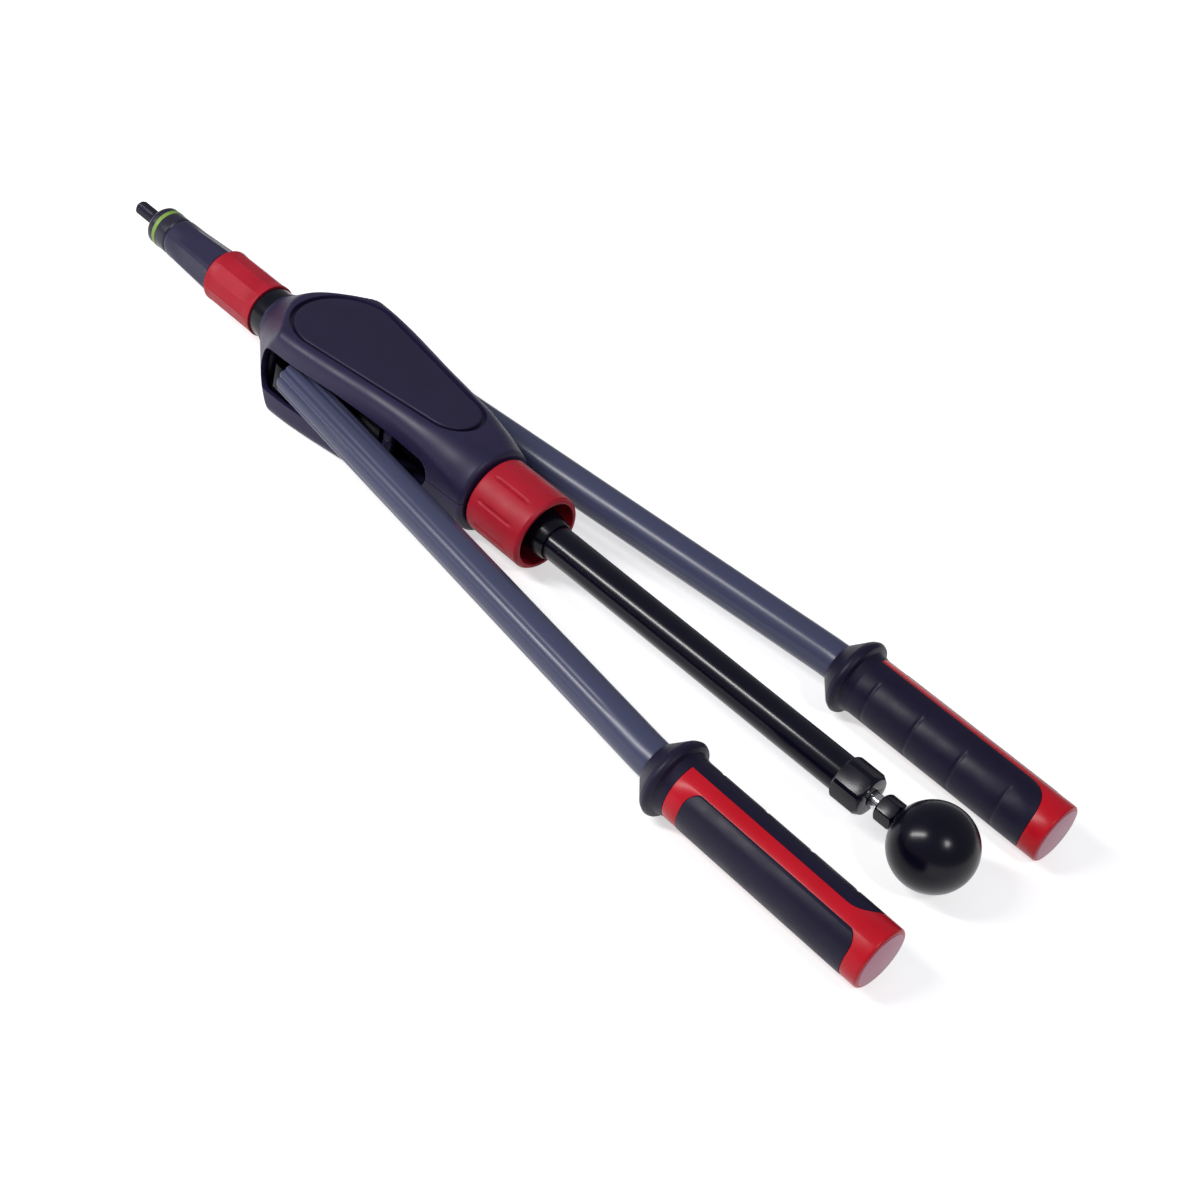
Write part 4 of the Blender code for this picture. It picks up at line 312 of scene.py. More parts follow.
def rounded(points):
    """A section with its corners rounded wherever a point has a radius as its third value."""
    steps = 5
    flat_points = [Vector(point[:2]) for point in points]
    result = []
    for i, point in enumerate(points):
        here = flat_points[i]
        radius = point[2] if len(point) > 2 else 0.0
        if not radius or i in (0, len(points) - 1):
            result.append(here)
            continue
        before = (flat_points[i - 1] - here).normalized()
        after = (flat_points[i + 1] - here).normalized()
        half = before.angle(after) / 2
        reach = radius / math.tan(half)
        centre = here + (before + after).normalized() * (radius / math.sin(half))
        start = here + before * reach - centre
        end = here + after * reach - centre
        sweep = start.angle_signed(end)
        for step in range(steps + 1):
            angle = -sweep * step / steps
            turned_start = Vector((start.x * math.cos(angle) - start.y * math.sin(angle),
                                   start.x * math.sin(angle) + start.y * math.cos(angle)))
            result.append(centre + turned_start)
    return result


def turned(name, outline, steps=96, closed=True, centre=AXIS):
    """Draw half a section point by point from (station, radius) pairs, and spin it round the axis.

    A closed section comes back to its first point and leaves a bore. An open one starts and ends on the axis.
    """
    points = rounded(outline)
    if closed:
        points = points + [points[0]]
    bpy.ops.object.select_all(action="DESELECT")
    start = centre + Vector((points[0].x, 0.0, points[0].y))
    bpy.ops.mesh.primitive_plane_add(size=0.1 * MM, location=start)
    piece = begin(name)
    bpy.ops.mesh.merge(type="CENTER")
    for here, there in zip(points, points[1:]):
        step = (there.x - here.x, 0.0, there.y - here.y)
        bpy.ops.mesh.extrude_region_move(TRANSFORM_OT_translate={"value": step})
    bpy.ops.mesh.select_all(action="SELECT")
    bpy.ops.mesh.spin(steps=steps, angle=math.tau, center=centre, axis=(1.0, 0.0, 0.0))
    return settle(piece)


def pressed(piece, press, centre=AXIS, angle=30.0):
    """Push a turned piece's surface inwards; press gives the depth at a station, an angle and a radius."""
    only(piece)
    bpy.ops.object.mode_set(mode="EDIT")
    mesh = bmesh.from_edit_mesh(piece.data)
    mesh.verts.ensure_lookup_table()
    groups = {}
    for vertex in mesh.verts:
        offset = vertex.co - centre
        radius = math.hypot(offset.y, offset.z)
        if radius < 0.1 * MM:
            continue
        depth = press(offset.x, math.atan2(offset.z, offset.y), radius)
        if depth > 0.004 * MM:
            groups.setdefault(round(1.0 - depth / radius, 4), []).append(vertex.index)
    for share, members in groups.items():
        bpy.ops.mesh.select_all(action="DESELECT")
        mesh = bmesh.from_edit_mesh(piece.data)
        mesh.verts.ensure_lookup_table()
        for index in members:
            mesh.verts[index].select = True
        bmesh.update_edit_mesh(piece.data)
        bpy.ops.transform.resize(value=(1.0, share, share), center_override=centre)
    bpy.ops.mesh.select_all(action="DESELECT")
    bpy.ops.object.mode_set(mode="OBJECT")
    bpy.ops.object.shade_smooth_by_angle(angle=math.radians(angle))
    return piece


def outlined(name, outline, low, high, plane="XY", centre=AXIS):
    """Draw a flat outline point by point, fill it and extrude it from one height to another."""
    def spot(point, height):
        if plane == "XY":
            return Vector((point[0], point[1], height))
        if plane == "XZ":
            return Vector((point[0], height, point[1]))
        return Vector((height, point[0], point[1]))

    bpy.ops.object.select_all(action="DESELECT")
    bpy.ops.mesh.primitive_plane_add(size=0.1 * MM, location=centre + spot(outline[0], low))
    piece = begin(name)
    bpy.ops.mesh.merge(type="CENTER")
    for here, there in zip(outline, list(outline[1:]) + [outline[0]]):
        bpy.ops.mesh.extrude_region_move(TRANSFORM_OT_translate={"value": spot(there, 0.0) - spot(here, 0.0)})
    bpy.ops.mesh.select_all(action="SELECT")
    bpy.ops.mesh.remove_doubles(threshold=0.002 * MM)
    bpy.ops.mesh.edge_face_add()
    rise = spot((0.0, 0.0), high - low)
    bpy.ops.mesh.extrude_region_move(TRANSFORM_OT_translate={"value": rise})
    return settle(piece)


def combined(piece, tool, operation="DIFFERENCE"):
    """Cut a piece with a tool, join the two or keep what they share, and throw the tool away."""
    only(piece)
    step = piece.modifiers.new("combined", "BOOLEAN")
    step.operation = operation
    step.solver = "EXACT"
    step.object = tool
    bpy.ops.object.modifier_apply(modifier=step.name)
    bpy.data.objects.remove(tool)
    return piece


def edged(piece, width, segments, limit):
    """Round the sharp edges of a piece a little."""
    only(piece)
    step = piece.modifiers.new("edged", "BEVEL")
    step.width = width
    step.segments = segments
    step.limit_method = "ANGLE"
    step.angle_limit = math.radians(limit)
    step.use_clamp_overlap = True
    bpy.ops.object.modifier_apply(modifier=step.name)
    bpy.ops.object.shade_smooth_by_angle(angle=math.radians(32.0))
    return piece


def mended(piece):
    """Close small openings that rounding the edges left."""
    only(piece)
    bpy.ops.object.mode_set(mode="EDIT")
    bpy.ops.mesh.select_all(action="SELECT")
    bpy.ops.mesh.fill_holes(sides=5)
    bpy.ops.mesh.select_all(action="DESELECT")
    bpy.ops.object.mode_set(mode="OBJECT")
    return piece


def moved(piece, placing):
    """Place a piece with a matrix and leave its place in its mesh."""
    piece.data.transform(placing)
    piece.data.update()
    return piece


def mirrored(piece, name):
    """A copy of a right-hand piece for the left side, with its own mesh."""
    only(piece)
    bpy.ops.object.duplicate(linked=False)
    copy = begin(name)
    bpy.ops.transform.resize(value=(1.0, -1.0, 1.0), center_override=(0.0, 0.0, 0.0))
    bpy.ops.mesh.flip_normals()
    bpy.ops.mesh.select_all(action="DESELECT")
    bpy.ops.object.mode_set(mode="OBJECT")
    return copy


def copied(piece, name):
    """A copy of a piece with its own mesh."""
    only(piece)
    bpy.ops.object.duplicate(linked=False)
    copy = bpy.context.active_object
    copy.name = name
    copy.data.name = name
    return copy


def dress(piece, body, slot, *nodes):
    """Give a piece its finish, the body that it moves with and the frame nodes that it stands for."""
    piece.data.materials.clear()
    piece.data.materials.append(FINISH[slot])
    for face in piece.data.polygons:
        face.material_index = 0
    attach(piece, body)
    if nodes:
        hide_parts(*nodes)
    return piece


def refined(node, body, slot):
    """A merged and edge-rounded copy of a frame node that is right in shape."""
    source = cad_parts[node]
    bpy.ops.object.select_all(action="DESELECT")
    piece = bpy.data.objects.new(node + "_dressed", source.data.copy())
    bpy.context.scene.collection.objects.link(piece)
    only(piece)
    bpy.ops.object.mode_set(mode="EDIT")
    bpy.ops.mesh.select_all(action="SELECT")
    bpy.ops.mesh.remove_doubles(threshold=0.005 * MM)
    bpy.ops.mesh.dissolve_limited(angle_limit=math.radians(0.5))
    bpy.ops.mesh.select_all(action="DESELECT")
    bpy.ops.object.mode_set(mode="OBJECT")
    edged(piece, 0.25 * MM, 2, 40.0)
    return dress(piece, body, slot, node)


# Nose
def make_nose():
    """Threaded mandrel, nosepiece with its size ring, six-flat nose sleeve, lock ring and neck."""
    pitch = 1.25 * MM
    per_turn = 8
    front, rear = -156.0, -134.0
    count = int((rear - front) / 1.25 * per_turn)
    outline = [(front * MM, 0.0), (front * MM, 2.6 * MM), ((front + 1.0) * MM, 3.55 * MM)]
    outline += [((front + 1.0) * MM + pitch * i / per_turn, 3.95 * MM) for i in range(1, count)]
    outline += [(rear * MM, 3.4 * MM), ((rear + 1.0) * MM, 3.4 * MM), ((rear + 1.0) * MM, 0.0)]
    mandrel = turned("mandrel_thread", outline, steps=32, closed=False)

    def thread(station, angle, radius):
        """A spiral groove with sloping sides."""
        if radius < 3.6 * MM or station > (rear - 0.6) * MM:
            return 0.0
        phase = (station / pitch - angle / math.tau) % 1.0
        return 0.62 * MM * min(1.0, 2.2 * abs(phase - 0.5))

    pressed(mandrel, thread, angle=50.0)
    rest = turned("mandrel_body", [(-134.5 * MM, 0.0), (-134.5 * MM, 3.4 * MM), (-102.0 * MM, 3.4 * MM),
                                   (-102.0 * MM, 5.5 * MM, 0.4 * MM), (-87.0 * MM, 5.5 * MM, 0.4 * MM),
                                   (-87.0 * MM, 0.0)], closed=False, steps=48)
    only(mandrel)
    rest.select_set(True)
    bpy.ops.object.join()
    dress(mandrel, "spindle", "black_steel", "mandrel")

    nosepiece = turned("nosepiece_shell", [
        (-131.6 * MM, 4.5 * MM), (-136.0 * MM, 4.5 * MM, 0.3 * MM), (-136.0 * MM, 9.5 * MM, 0.7 * MM),
        (-134.4 * MM, 10.6 * MM, 0.5 * MM), (-131.45 * MM, 10.6 * MM, 0.25 * MM),
        (-131.45 * MM, 9.7 * MM), (-128.55 * MM, 9.7 * MM), (-128.55 * MM, 10.6 * MM, 0.25 * MM),
        (-122.0 * MM, 10.6 * MM, 0.3 * MM), (-121.1 * MM, 9.6 * MM), (-121.1 * MM, 4.5 * MM)])
    dress(nosepiece, "nose_slide", "black_steel", "nosepiece")
    size_ring = turned("size_ring_band", [
        (-131.3 * MM, 9.8 * MM), (-131.3 * MM, 10.8 * MM, 0.45 * MM), (-128.7 * MM, 10.8 * MM, 0.45 * MM),
        (-128.7 * MM, 9.8 * MM)])
    dress(size_ring, "nose_slide", "ring_green", "size_ring")

    stations = [-120.7 + 38.5 * i / 30 for i in range(31)]
    outline = [(-120.7 * MM, 8.0 * MM), (-120.7 * MM, 10.3 * MM)]
    outline += [(s * MM, (10.8 + 2.2 * (s + 120.7) / 38.5) * MM) for s in stations[1:-1]]
    outline += [(-82.25 * MM, 12.9 * MM), (-82.25 * MM, 8.0 * MM)]
    sleeve = turned("nose_sleeve_shell", outline, steps=144)

    def flats(station, angle, radius):
        """Six flats that run out softly towards the nose."""
        if radius < 10.0 * MM or station > -83.0 * MM:
            return 0.0
        along = eased(min(1.0, max(0.0, (station / MM + 119.0) / 16.0)))
        share = (angle + math.pi / 6) % (math.pi / 3) - math.pi / 6
        flat = radius - radius * math.cos(math.pi / 6) / math.cos(share) * 1.045
        return max(0.0, flat) * along

    pressed(sleeve, flats, angle=28.0)
    dress(sleeve, "nose_slide", "black_steel", "nose_sleeve")
    # The nose sleeve takes the lighter copy of black_steel: painted light
    sleeve.data.materials[0] = FINISH["nose_steel_painted_light"]

    outline = [(-43.3 * MM, 11.85 * MM), (-81.9 * MM, 11.85 * MM), (-81.9 * MM, 12.9 * MM, 0.3 * MM),
               (-80.1 * MM, 14.75 * MM, 0.5 * MM)]
    outline += [((-79.0 + 34.0 * i / 20) * MM, 14.75 * MM) for i in range(21)]
    outline += [(-43.3 * MM, 14.75 * MM, 0.9 * MM)]
    lock = turned("lock_ring_shell", outline, steps=192)

    def ring_flats(station, angle, radius):
        """Twelve shallow flats between soft ribs."""
        if radius < 14.3 * MM:
            return 0.0
        along = min(1.0, (station / MM + 80.0) / 5.0, (-44.4 - station / MM) / 5.0)
        if along <= 0.0:
            return 0.0
        along = eased(along)
        share = abs((angle / (math.tau / 12) - 0.25) % 1.0 - 0.5) * 2.0
        return 0.45 * MM * along * (1.0 - share ** 3)

    pressed(lock, ring_flats, angle=35.0)
    dress(lock, "lock_ring", "ring_red", "lock_ring")

    neck = turned("neck_cover", [
        (-43.1 * MM, 11.0 * MM), (-43.1 * MM, 13.9 * MM, 0.5 * MM), (-23.0 * MM, 13.9 * MM, 0.6 * MM),
        (-22.2 * MM, 11.0 * MM)])
    dress(neck, "nose_slide", "black_steel")
    neck.data.materials[0] = FINISH["cast_aluminium"]


# Housing: half width, half height and corner radius by station
WIDTHS = ((-36.0, 34.6), (3.6, 34.6), (13.5, 34.2), (28.35, 32.4), (46.5, 29.6), (63.0, 26.8), (79.5, 24.9),
          (99.3, 23.6), (117.5, 22.9), (126.0, 22.4), (129.0, 22.0))
HEIGHTS = ((-36.0, HALF_HEIGHT), (99.3, HALF_HEIGHT), (117.5, 23.4), (126.0, 22.4), (129.0, 22.0))
CORNERS = ((-36.0, 6.0), (30.0, 6.0), (63.0, 7.0), (79.5, 8.0), (99.3, 11.0), (117.5, 17.0), (126.0, 21.4),
           (129.0, 21.6))
# The cone of the front shoulder: its station, its radius there and how much wider it grows for each mm
CONE_FRONT, CONE_RADIUS, CONE_SLOPE = -32.0, 15.4, 0.75


def smooth_table(table, x):
    """Read a table of (station, value) pairs, with the corners between its spans rounded off."""
    def straight(at):
        if at <= table[0][0]:
            return table[0][1]
        for (x0, v0), (x1, v1) in zip(table, table[1:]):
            if at <= x1:
                return v0 + (v1 - v0) * (at - x0) / (x1 - x0)
        return table[-1][1]

    return sum(straight(x + shift) for shift in (-5.0, -3.0, -1.0, 0.0, 1.0, 3.0, 5.0)) / 7.0


def housing_reach(station, angle, inset, cone_shift):
    """How far the housing's surface lies from the axis: a rounded box, cut by the cone of its shoulder."""
    half_width = smooth_table(WIDTHS, station) - inset
    half_height = smooth_table(HEIGHTS, station) - inset
    corner = max(smooth_table(CORNERS, station) - inset, 2.0)
    corner = min(corner, half_width - 0.3, half_height - 0.3)
    across, rise = abs(math.cos(angle)), abs(math.sin(angle))
    flat = min(half_width / max(across, 1e-6), half_height / max(rise, 1e-6))
    if flat * across > half_width - corner and flat * rise > half_height - corner:
        mid_y, mid_z = half_width - corner, half_height - corner
        along = across * mid_y + rise * mid_z
        flat = along + math.sqrt(max(0.0, along * along - mid_y ** 2 - mid_z ** 2 + corner ** 2))
    cone = CONE_RADIUS + CONE_SLOPE * max(0.0, station - CONE_FRONT - cone_shift)
    gap = flat - cone
    soft = 1.1
    if abs(gap) < soft:
        return (flat + cone) / 2 - (gap * gap + soft * soft) / (4 * soft)
    return min(flat, cone)


def housing_form(name, stations, angles, inset=0.0, cone_shift=0.0):
    """Extrude a ring along the tool, and set each ring to the housing's section there."""
    bpy.ops.object.select_all(action="DESELECT")
    bpy.ops.mesh.primitive_circle_add(vertices=angles, radius=1.0 * MM, fill_type="NGON",
                                      rotation=(0.0, math.pi / 2, 0.0),
                                      location=AXIS + Vector((stations[0] * MM, 0.0, 0.0)))
    piece = begin(name)
    for here, there in zip(stations, stations[1:]):
        bpy.ops.mesh.extrude_region_move(TRANSFORM_OT_translate={"value": ((there - here) * MM, 0.0, 0.0)})
    bpy.ops.object.mode_set(mode="OBJECT")
    bpy.ops.object.transform_apply(location=True, rotation=True, scale=True)
    last = stations[-1]
    for vertex in piece.data.vertices:
        offset = vertex.co - AXIS
        station = offset.x / MM
        angle = math.atan2(offset.z, offset.y)
        reach = housing_reach(station, angle, inset, cone_shift)
        if not inset:
            reach -= 2.4 * (1.0 - math.sqrt(max(0.0, 1.0 - max(0.0, (station - last + 2.4) / 2.4) ** 2)))
        vertex.co = AXIS + Vector((offset.x, reach * MM * math.cos(angle), reach * MM * math.sin(angle)))
    return settle(piece)


def panel_outline(grow):
    """The teardrop of the top panel: broad and round in front, tapering to a round tail."""
    points = []
    for i in range(41):
        angle = math.radians(90.0 + 180.0 * i / 40)
        points.append(((13.5 + (27.0 + grow) * math.cos(angle)) * MM, (27.0 + grow) * math.sin(angle) * MM))
    for i in range(29):
        angle = math.radians(-82.0 + 164.0 * i / 28)
        points.append(((92.5 + (14.5 + grow) * math.cos(angle)) * MM, (14.5 + grow) * math.sin(angle) * MM))
    return points


def slot_outline():
    """The side opening for an arm: its front edge leans along the shoulder, its rear end is round."""
    points = [(0.0, 12.0), (-2.9, 11.6), (-5.4, 10.2), (-7.3, 7.7), (-7.8, 4.2), (-8.0, 0.0), (-7.8, -4.2),
              (-7.2, -8.2), (-5.4, -10.7), (-2.8, -12.0), (42.0, -12.0)]
    points += [(97.0 + 8.0 * math.cos(math.radians(a)), 8.0 * math.sin(math.radians(a))) for a in range(-84, 85, 12)]
    points += [(42.0, 12.0)]
    return [(x * MM, z * MM) for x, z in points]


# Station, side and head recess of the screw posts, front to rear
POSTS = ((-13.5, 22.0, 6.2), (72.0, 17.6, 3.0), (108.0, 17.2, 3.6))


def spare_post(cutter, station, side):
    """Take a screw's post out of a cutter, so that the post stays standing in the shells."""
    bpy.ops.object.select_all(action="DESELECT")
    bpy.ops.mesh.primitive_cylinder_add(vertices=32, radius=3.2 * MM, depth=80.0 * MM,
                                        location=AXIS + Vector((station * MM, side * MM, 0.0)))
    combined(cutter, settle(begin("post")))


def make_housing():
    """The two moulded shells, the inset panel and the screws under them."""
    stations = [-33.4 + 1.0 * i for i in range(40)] + [7.5 + 1.5 * i for i in range(79)]
    stations += [126.0, 126.6, 127.2, 127.8, 128.3, 128.7, 128.9, 129.0]
    outer = housing_form("shell_form", stations, 180)
    inner_stations = [-20.7 + 2.84 * i for i in range(51)]
    inner = housing_form("shell_hollow", inner_stations, 96, 2.6, 4.4)
    for station, side, _ in POSTS:
        for way in (-1.0, 1.0):
            spare_post(inner, station, way * side)
    combined(outer, inner)
    mouth = turned("mouth", [(-37.0 * MM, 0.0), (-37.0 * MM, 14.3 * MM), (-28.3 * MM, 14.3 * MM),
                             (-28.3 * MM, 16.4 * MM), (-19.7 * MM, 16.4 * MM), (-19.7 * MM, 0.0)], closed=False)
    combined(outer, mouth)
    tail = turned("tail", [(110.0 * MM, 0.0), (110.0 * MM, 14.4 * MM), (130.0 * MM, 14.4 * MM), (130.0 * MM, 0.0)],
                  closed=False)
    combined(outer, tail)
    for way in (-1.0, 1.0):
        slot = outlined("slot", slot_outline(), 15.0 * MM, 60.0 * MM, "XZ")
        if way < 0.0:
            slot = mirrored(slot, "slot_left")
            bpy.data.objects.remove(bpy.data.objects["slot"])
        for station, side, _ in POSTS:
            spare_post(slot, station, way * side)
        combined(outer, slot)
    lower = copied(outer, "lower_shell_moulding")
    upper = outer
    upper.name = "upper_shell_moulding"
    for piece, way in ((upper, -1.0), (lower, 1.0)):
        low, high = sorted((-way * 0.15 * MM, way * 60.0 * MM))
        combined(piece, outlined("parting", [(-0.2, -0.2), (0.2, -0.2), (0.2, 0.2), (-0.2, 0.2)], low, high))
    combined(upper, outlined("panel_recess", panel_outline(2.0), 22.1 * MM, 30.0 * MM))
    for station, side, recess in POSTS:
        for way in (-1.0, 1.0):
            seat = -HALF_HEIGHT + recess + 1.8
            hole = screw_form("screw_hole", station, way * side, (
                (9.0, 0.0), (9.0, 1.6), (seat, 1.6), (seat, 3.0), (-26.0, 3.0), (-26.0, 0.0)))
            combined(lower, hole)
    edged(upper, 0.45 * MM, 2, 38.0)
    edged(lower, 0.45 * MM, 2, 38.0)
    mended(lower)
    dress(upper, "housing", "shell_plastic", "upper_shell")
    dress(lower, "housing", "shell_plastic", "lower_shell")

    panel = outlined("top_panel_pad", panel_outline(-0.3), 22.2 * MM, HALF_HEIGHT * MM)
    edged(panel, 1.0 * MM, 5, 60.0)
    dress(panel, "housing", "panel_rubber", "top_panel")

    number = 0
    for station, side, recess in POSTS:
        for way in (-1.0, 1.0):
            number += 1
            seat = -HALF_HEIGHT + recess + 1.5
            screw = screw_form("shell_screw_%d_turned" % number, station, way * side, (
                (9.0, 0.0), (9.0, 1.4), (seat, 1.4), (seat, 2.7), (seat - 1.4, 2.7), (seat - 1.8, 2.2),
                (seat - 1.8, 0.0)))
            corners = [math.radians(60 * i) for i in range(6)]
            recess_cut = outlined("socket", [(0.9 * MM * math.cos(a), 0.9 * MM * math.sin(a)) for a in corners],
                                  (seat - 3.0) * MM, (seat - 0.7) * MM,
                                  centre=AXIS + Vector((station * MM, way * side * MM, 0.0)))
            combined(screw, recess_cut)
            edged(screw, 0.12 * MM, 2, 40.0)
            dress(screw, "housing", "plain_steel", "shell_screw_%d" % number)


def screw_form(name, station, side, outline):
    """A shape turned about an upright line, from (height, radius) pairs."""
    centre = AXIS + Vector((station * MM, side * MM, 0.0))
    bpy.ops.object.select_all(action="DESELECT")
    start = centre + Vector((outline[0][1] * MM, 0.0, outline[0][0] * MM))
    bpy.ops.mesh.primitive_plane_add(size=0.1 * MM, location=start)
    piece = begin(name)
    bpy.ops.mesh.merge(type="CENTER")
    for here, there in zip(outline, outline[1:]):
        step = ((there[1] - here[1]) * MM, 0.0, (there[0] - here[0]) * MM)
        bpy.ops.mesh.extrude_region_move(TRANSFORM_OT_translate={"value": step})
    bpy.ops.mesh.select_all(action="SELECT")
    bpy.ops.mesh.spin(steps=32, angle=math.tau, center=centre, axis=(0.0, 0.0, 1.0))
    return settle(piece)


# Rear end: adjuster ring, boss, centre tube, collar, rod and ball knob
def make_rear():
    """Adjuster ring, collar, centre tube, rod nut and ball knob."""
    front, rear = 130.4, 165.7
    outline = [(front * MM, 14.3 * MM), (front * MM, 19.8 * MM, 1.2 * MM)]
    outline += [((front + 3.0 + 29.0 * i / 36) * MM, 19.8 * MM) for i in range(37)]
    outline += [((rear - 1.6) * MM, 19.8 * MM, 0.6 * MM), (rear * MM, 18.6 * MM, 0.5 * MM),
                (rear * MM, 16.9 * MM, 0.5 * MM), (149.0 * MM, 16.9 * MM), (149.0 * MM, 14.3 * MM),
                (144.3 * MM, 14.3 * MM), (144.3 * MM, 16.3 * MM), (134.7 * MM, 16.3 * MM),
                (134.7 * MM, 14.3 * MM)]
    ring = turned("adjuster_ring_shell", outline, steps=256)

    def grooves(station, angle, radius):
        """Nine narrow grip grooves between broad round lands."""
        if radius < 19.4 * MM:
            return 0.0
        share = abs((angle / (math.tau / 9)) % 1.0 - 0.5) * 2.0
        along = min(1.0, (station / MM - front - 4.0) / 4.0, (rear - 6.0 - station / MM) / 5.0)
        if along <= 0.0:
            return 0.0
        along = eased(along)
        near = max(0.0, 1.0 - (1.0 - share) / 0.16)
        return 0.85 * MM * along * eased(near)

    pressed(ring, grooves, angle=40.0)
    dress(ring, "adjuster_ring", "ring_red", "adjuster_ring")

    collar = outlined("tube_collar_nut", hexagon(9.75, -20), 353.2 * MM, 368.8 * MM, "YZ")
    dome = turned("collar_round", [(352.0 * MM, 0.0), (352.0 * MM, 9.9 * MM), (353.2 * MM, 9.9 * MM),
                                   (354.2 * MM, 10.75 * MM), (366.6 * MM, 10.75 * MM), (368.8 * MM, 9.3 * MM),
                                   (369.2 * MM, 0.0)], closed=False, steps=128)
    combined(collar, dome, "INTERSECT")
    bore = turned("collar_bore", [(350.0 * MM, 0.0), (350.0 * MM, 9.1 * MM), (357.4 * MM, 9.1 * MM),
                                  (357.4 * MM, 4.1 * MM), (372.0 * MM, 4.1 * MM), (372.0 * MM, 0.0)],
                  closed=False)
    combined(collar, bore)
    edged(collar, 0.3 * MM, 3, 25.0)
    dress(collar, "housing", "tube_black", "tube_collar")

    tube = turned("centre_tube_shell", [
        (164.2 * MM, 7.3 * MM), (164.2 * MM, 8.8 * MM, 0.4 * MM), (357.0 * MM, 8.8 * MM, 0.3 * MM),
        (357.0 * MM, 7.3 * MM)], steps=128)
    dress(tube, "housing", "tube_black", "centre_tube")

    nut = outlined("rod_nut_hexagon", hexagon(6.0, -20), 374.3 * MM, 383.8 * MM, "YZ")
    dome = turned("nut_round", [(373.0 * MM, 0.0), (373.6 * MM, 5.4 * MM), (374.3 * MM, 5.6 * MM),
                                (375.4 * MM, 6.75 * MM), (382.7 * MM, 6.75 * MM), (383.8 * MM, 5.6 * MM),
                                (384.2 * MM, 0.0)], closed=False)
    combined(nut, dome, "INTERSECT")
    bore = turned("nut_bore", [(372.0 * MM, 0.0), (372.0 * MM, 4.0 * MM), (386.0 * MM, 4.0 * MM), (386.0 * MM, 0.0)],
                  closed=False, steps=64)
    combined(nut, bore)
    edged(nut, 0.25 * MM, 3, 25.0)
    dress(nut, "ball_rod", "black_steel", "rod_nut")
    nut.data.materials[0] = FINISH["tube_black"]

    middle, radius, neck, bore = 403.0, 20.0, 6.5, 3.9
    cap = math.sqrt(radius ** 2 - neck ** 2)
    outline = [((middle - cap) * MM, bore * MM), ((middle - cap) * MM, neck * MM)]
    start = math.acos(-cap / radius)
    for i in range(1, 64):
        angle = start * (1.0 - i / 64)
        outline.append(((middle + radius * math.cos(angle)) * MM, radius * math.sin(angle) * MM))
    outline += [((middle + radius) * MM, 0.0), (394.2 * MM, 0.0), (394.2 * MM, bore * MM)]
    ball = turned("ball_knob_moulding", outline, steps=128)
    dress(ball, "ball_rod", "ball_black", "ball_knob")


def taper_boss(core):
    """Turn the end of the core's boss down to a cone that runs out near the tube."""
    combined(core, turned("boss_taper", [(163.0 * MM, 11.8 * MM), (171.2 * MM, 9.9 * MM, 0.4 * MM),
                                         (172.6 * MM, 9.4 * MM), (172.6 * MM, 13.0 * MM), (163.0 * MM, 13.0 * MM)]))
    only(core)
    bpy.ops.object.shade_smooth_by_angle(angle=math.radians(30.0))


def hexagon(flat_radius, turn):
    """A hexagon in section, turned about the axis from one flat upwards."""
    corner = flat_radius / math.cos(math.pi / 6) * MM
    angles = [math.radians(60 * i + turn) for i in range(6)]
    return [(corner * math.cos(angle), corner * math.sin(angle)) for angle in angles]


# Arms and grips: sizes in mm, stations along the arm counted from its pivot and along the grip from its flange
ORIGIN = Vector((0.0, 0.0, 0.0))
PIVOT_SIDE = 19.0
TUBE_SIDE_STEP = 7.7
FLANGE_STATION = 314.2
FLANGE_RADIUS = 19.5
TUBE_FRONT = 10.8
TUBE_RADIUS = 9.42
TUBE_WALL = 2.0
ARM_ANGLE = math.radians(6.87)
ARM_DROOP = math.asin((HALF_HEIGHT - FLANGE_RADIUS) / FLANGE_STATION)
BEND = math.radians(6.51)
BEND_LENGTH = 15.0
BEND_END = FLANGE_STATION - 5.5
GRIP_RADIUS = 14.95
GRIP_ROLL = math.radians(-9.0)
GROOVES = (15.5, 40.7, 65.9, 91.1)
GROOVE_HALF_WIDTH = 1.6
GROOVE_DEPTH = 0.45
FLUTES_END = 284.0
# Angle, width, depth at the tube's front and depth along the tube of each pair of flutes
FLUTES = ((20.0, 5.0, 0.8, 0.18), (51.0, 5.0, 0.6, 0.16), (88.0, 7.0, 0.9, 0.0), (108.0, 5.0, 0.3, 0.10),
          (162.0, 5.0, 0.6, 0.14))


def arm_line():
    """The right arm's own frame: pivot, opening angle, side step and droop."""
    pivot = Matrix.Translation(AXIS + Vector((0.0, PIVOT_SIDE * MM, 0.0))) @ Matrix.Rotation(ARM_ANGLE, 4, "Z")
    return pivot @ Matrix.Translation((0.0, TUBE_SIDE_STEP * MM, 0.0)) @ Matrix.Rotation(ARM_DROOP, 4, "Y")


def arm_path(s):
    """Centre and heading of the right arm's tube at a distance from its pivot, in mm."""
    bend_start = BEND_END - BEND_LENGTH
    radius = BEND_LENGTH / BEND
    if s <= bend_start:
        return Vector((s, 0.0, 0.0)), 0.0
    if s <= BEND_END:
        angle = (s - bend_start) / radius
        return Vector((bend_start + radius * math.sin(angle), -radius * (1.0 - math.cos(angle)), 0.0)), -angle
    end = Vector((bend_start + radius * math.sin(BEND), -radius * (1.0 - math.cos(BEND)), 0.0))
    return end + Vector((math.cos(BEND), -math.sin(BEND), 0.0)) * (s - BEND_END), -BEND


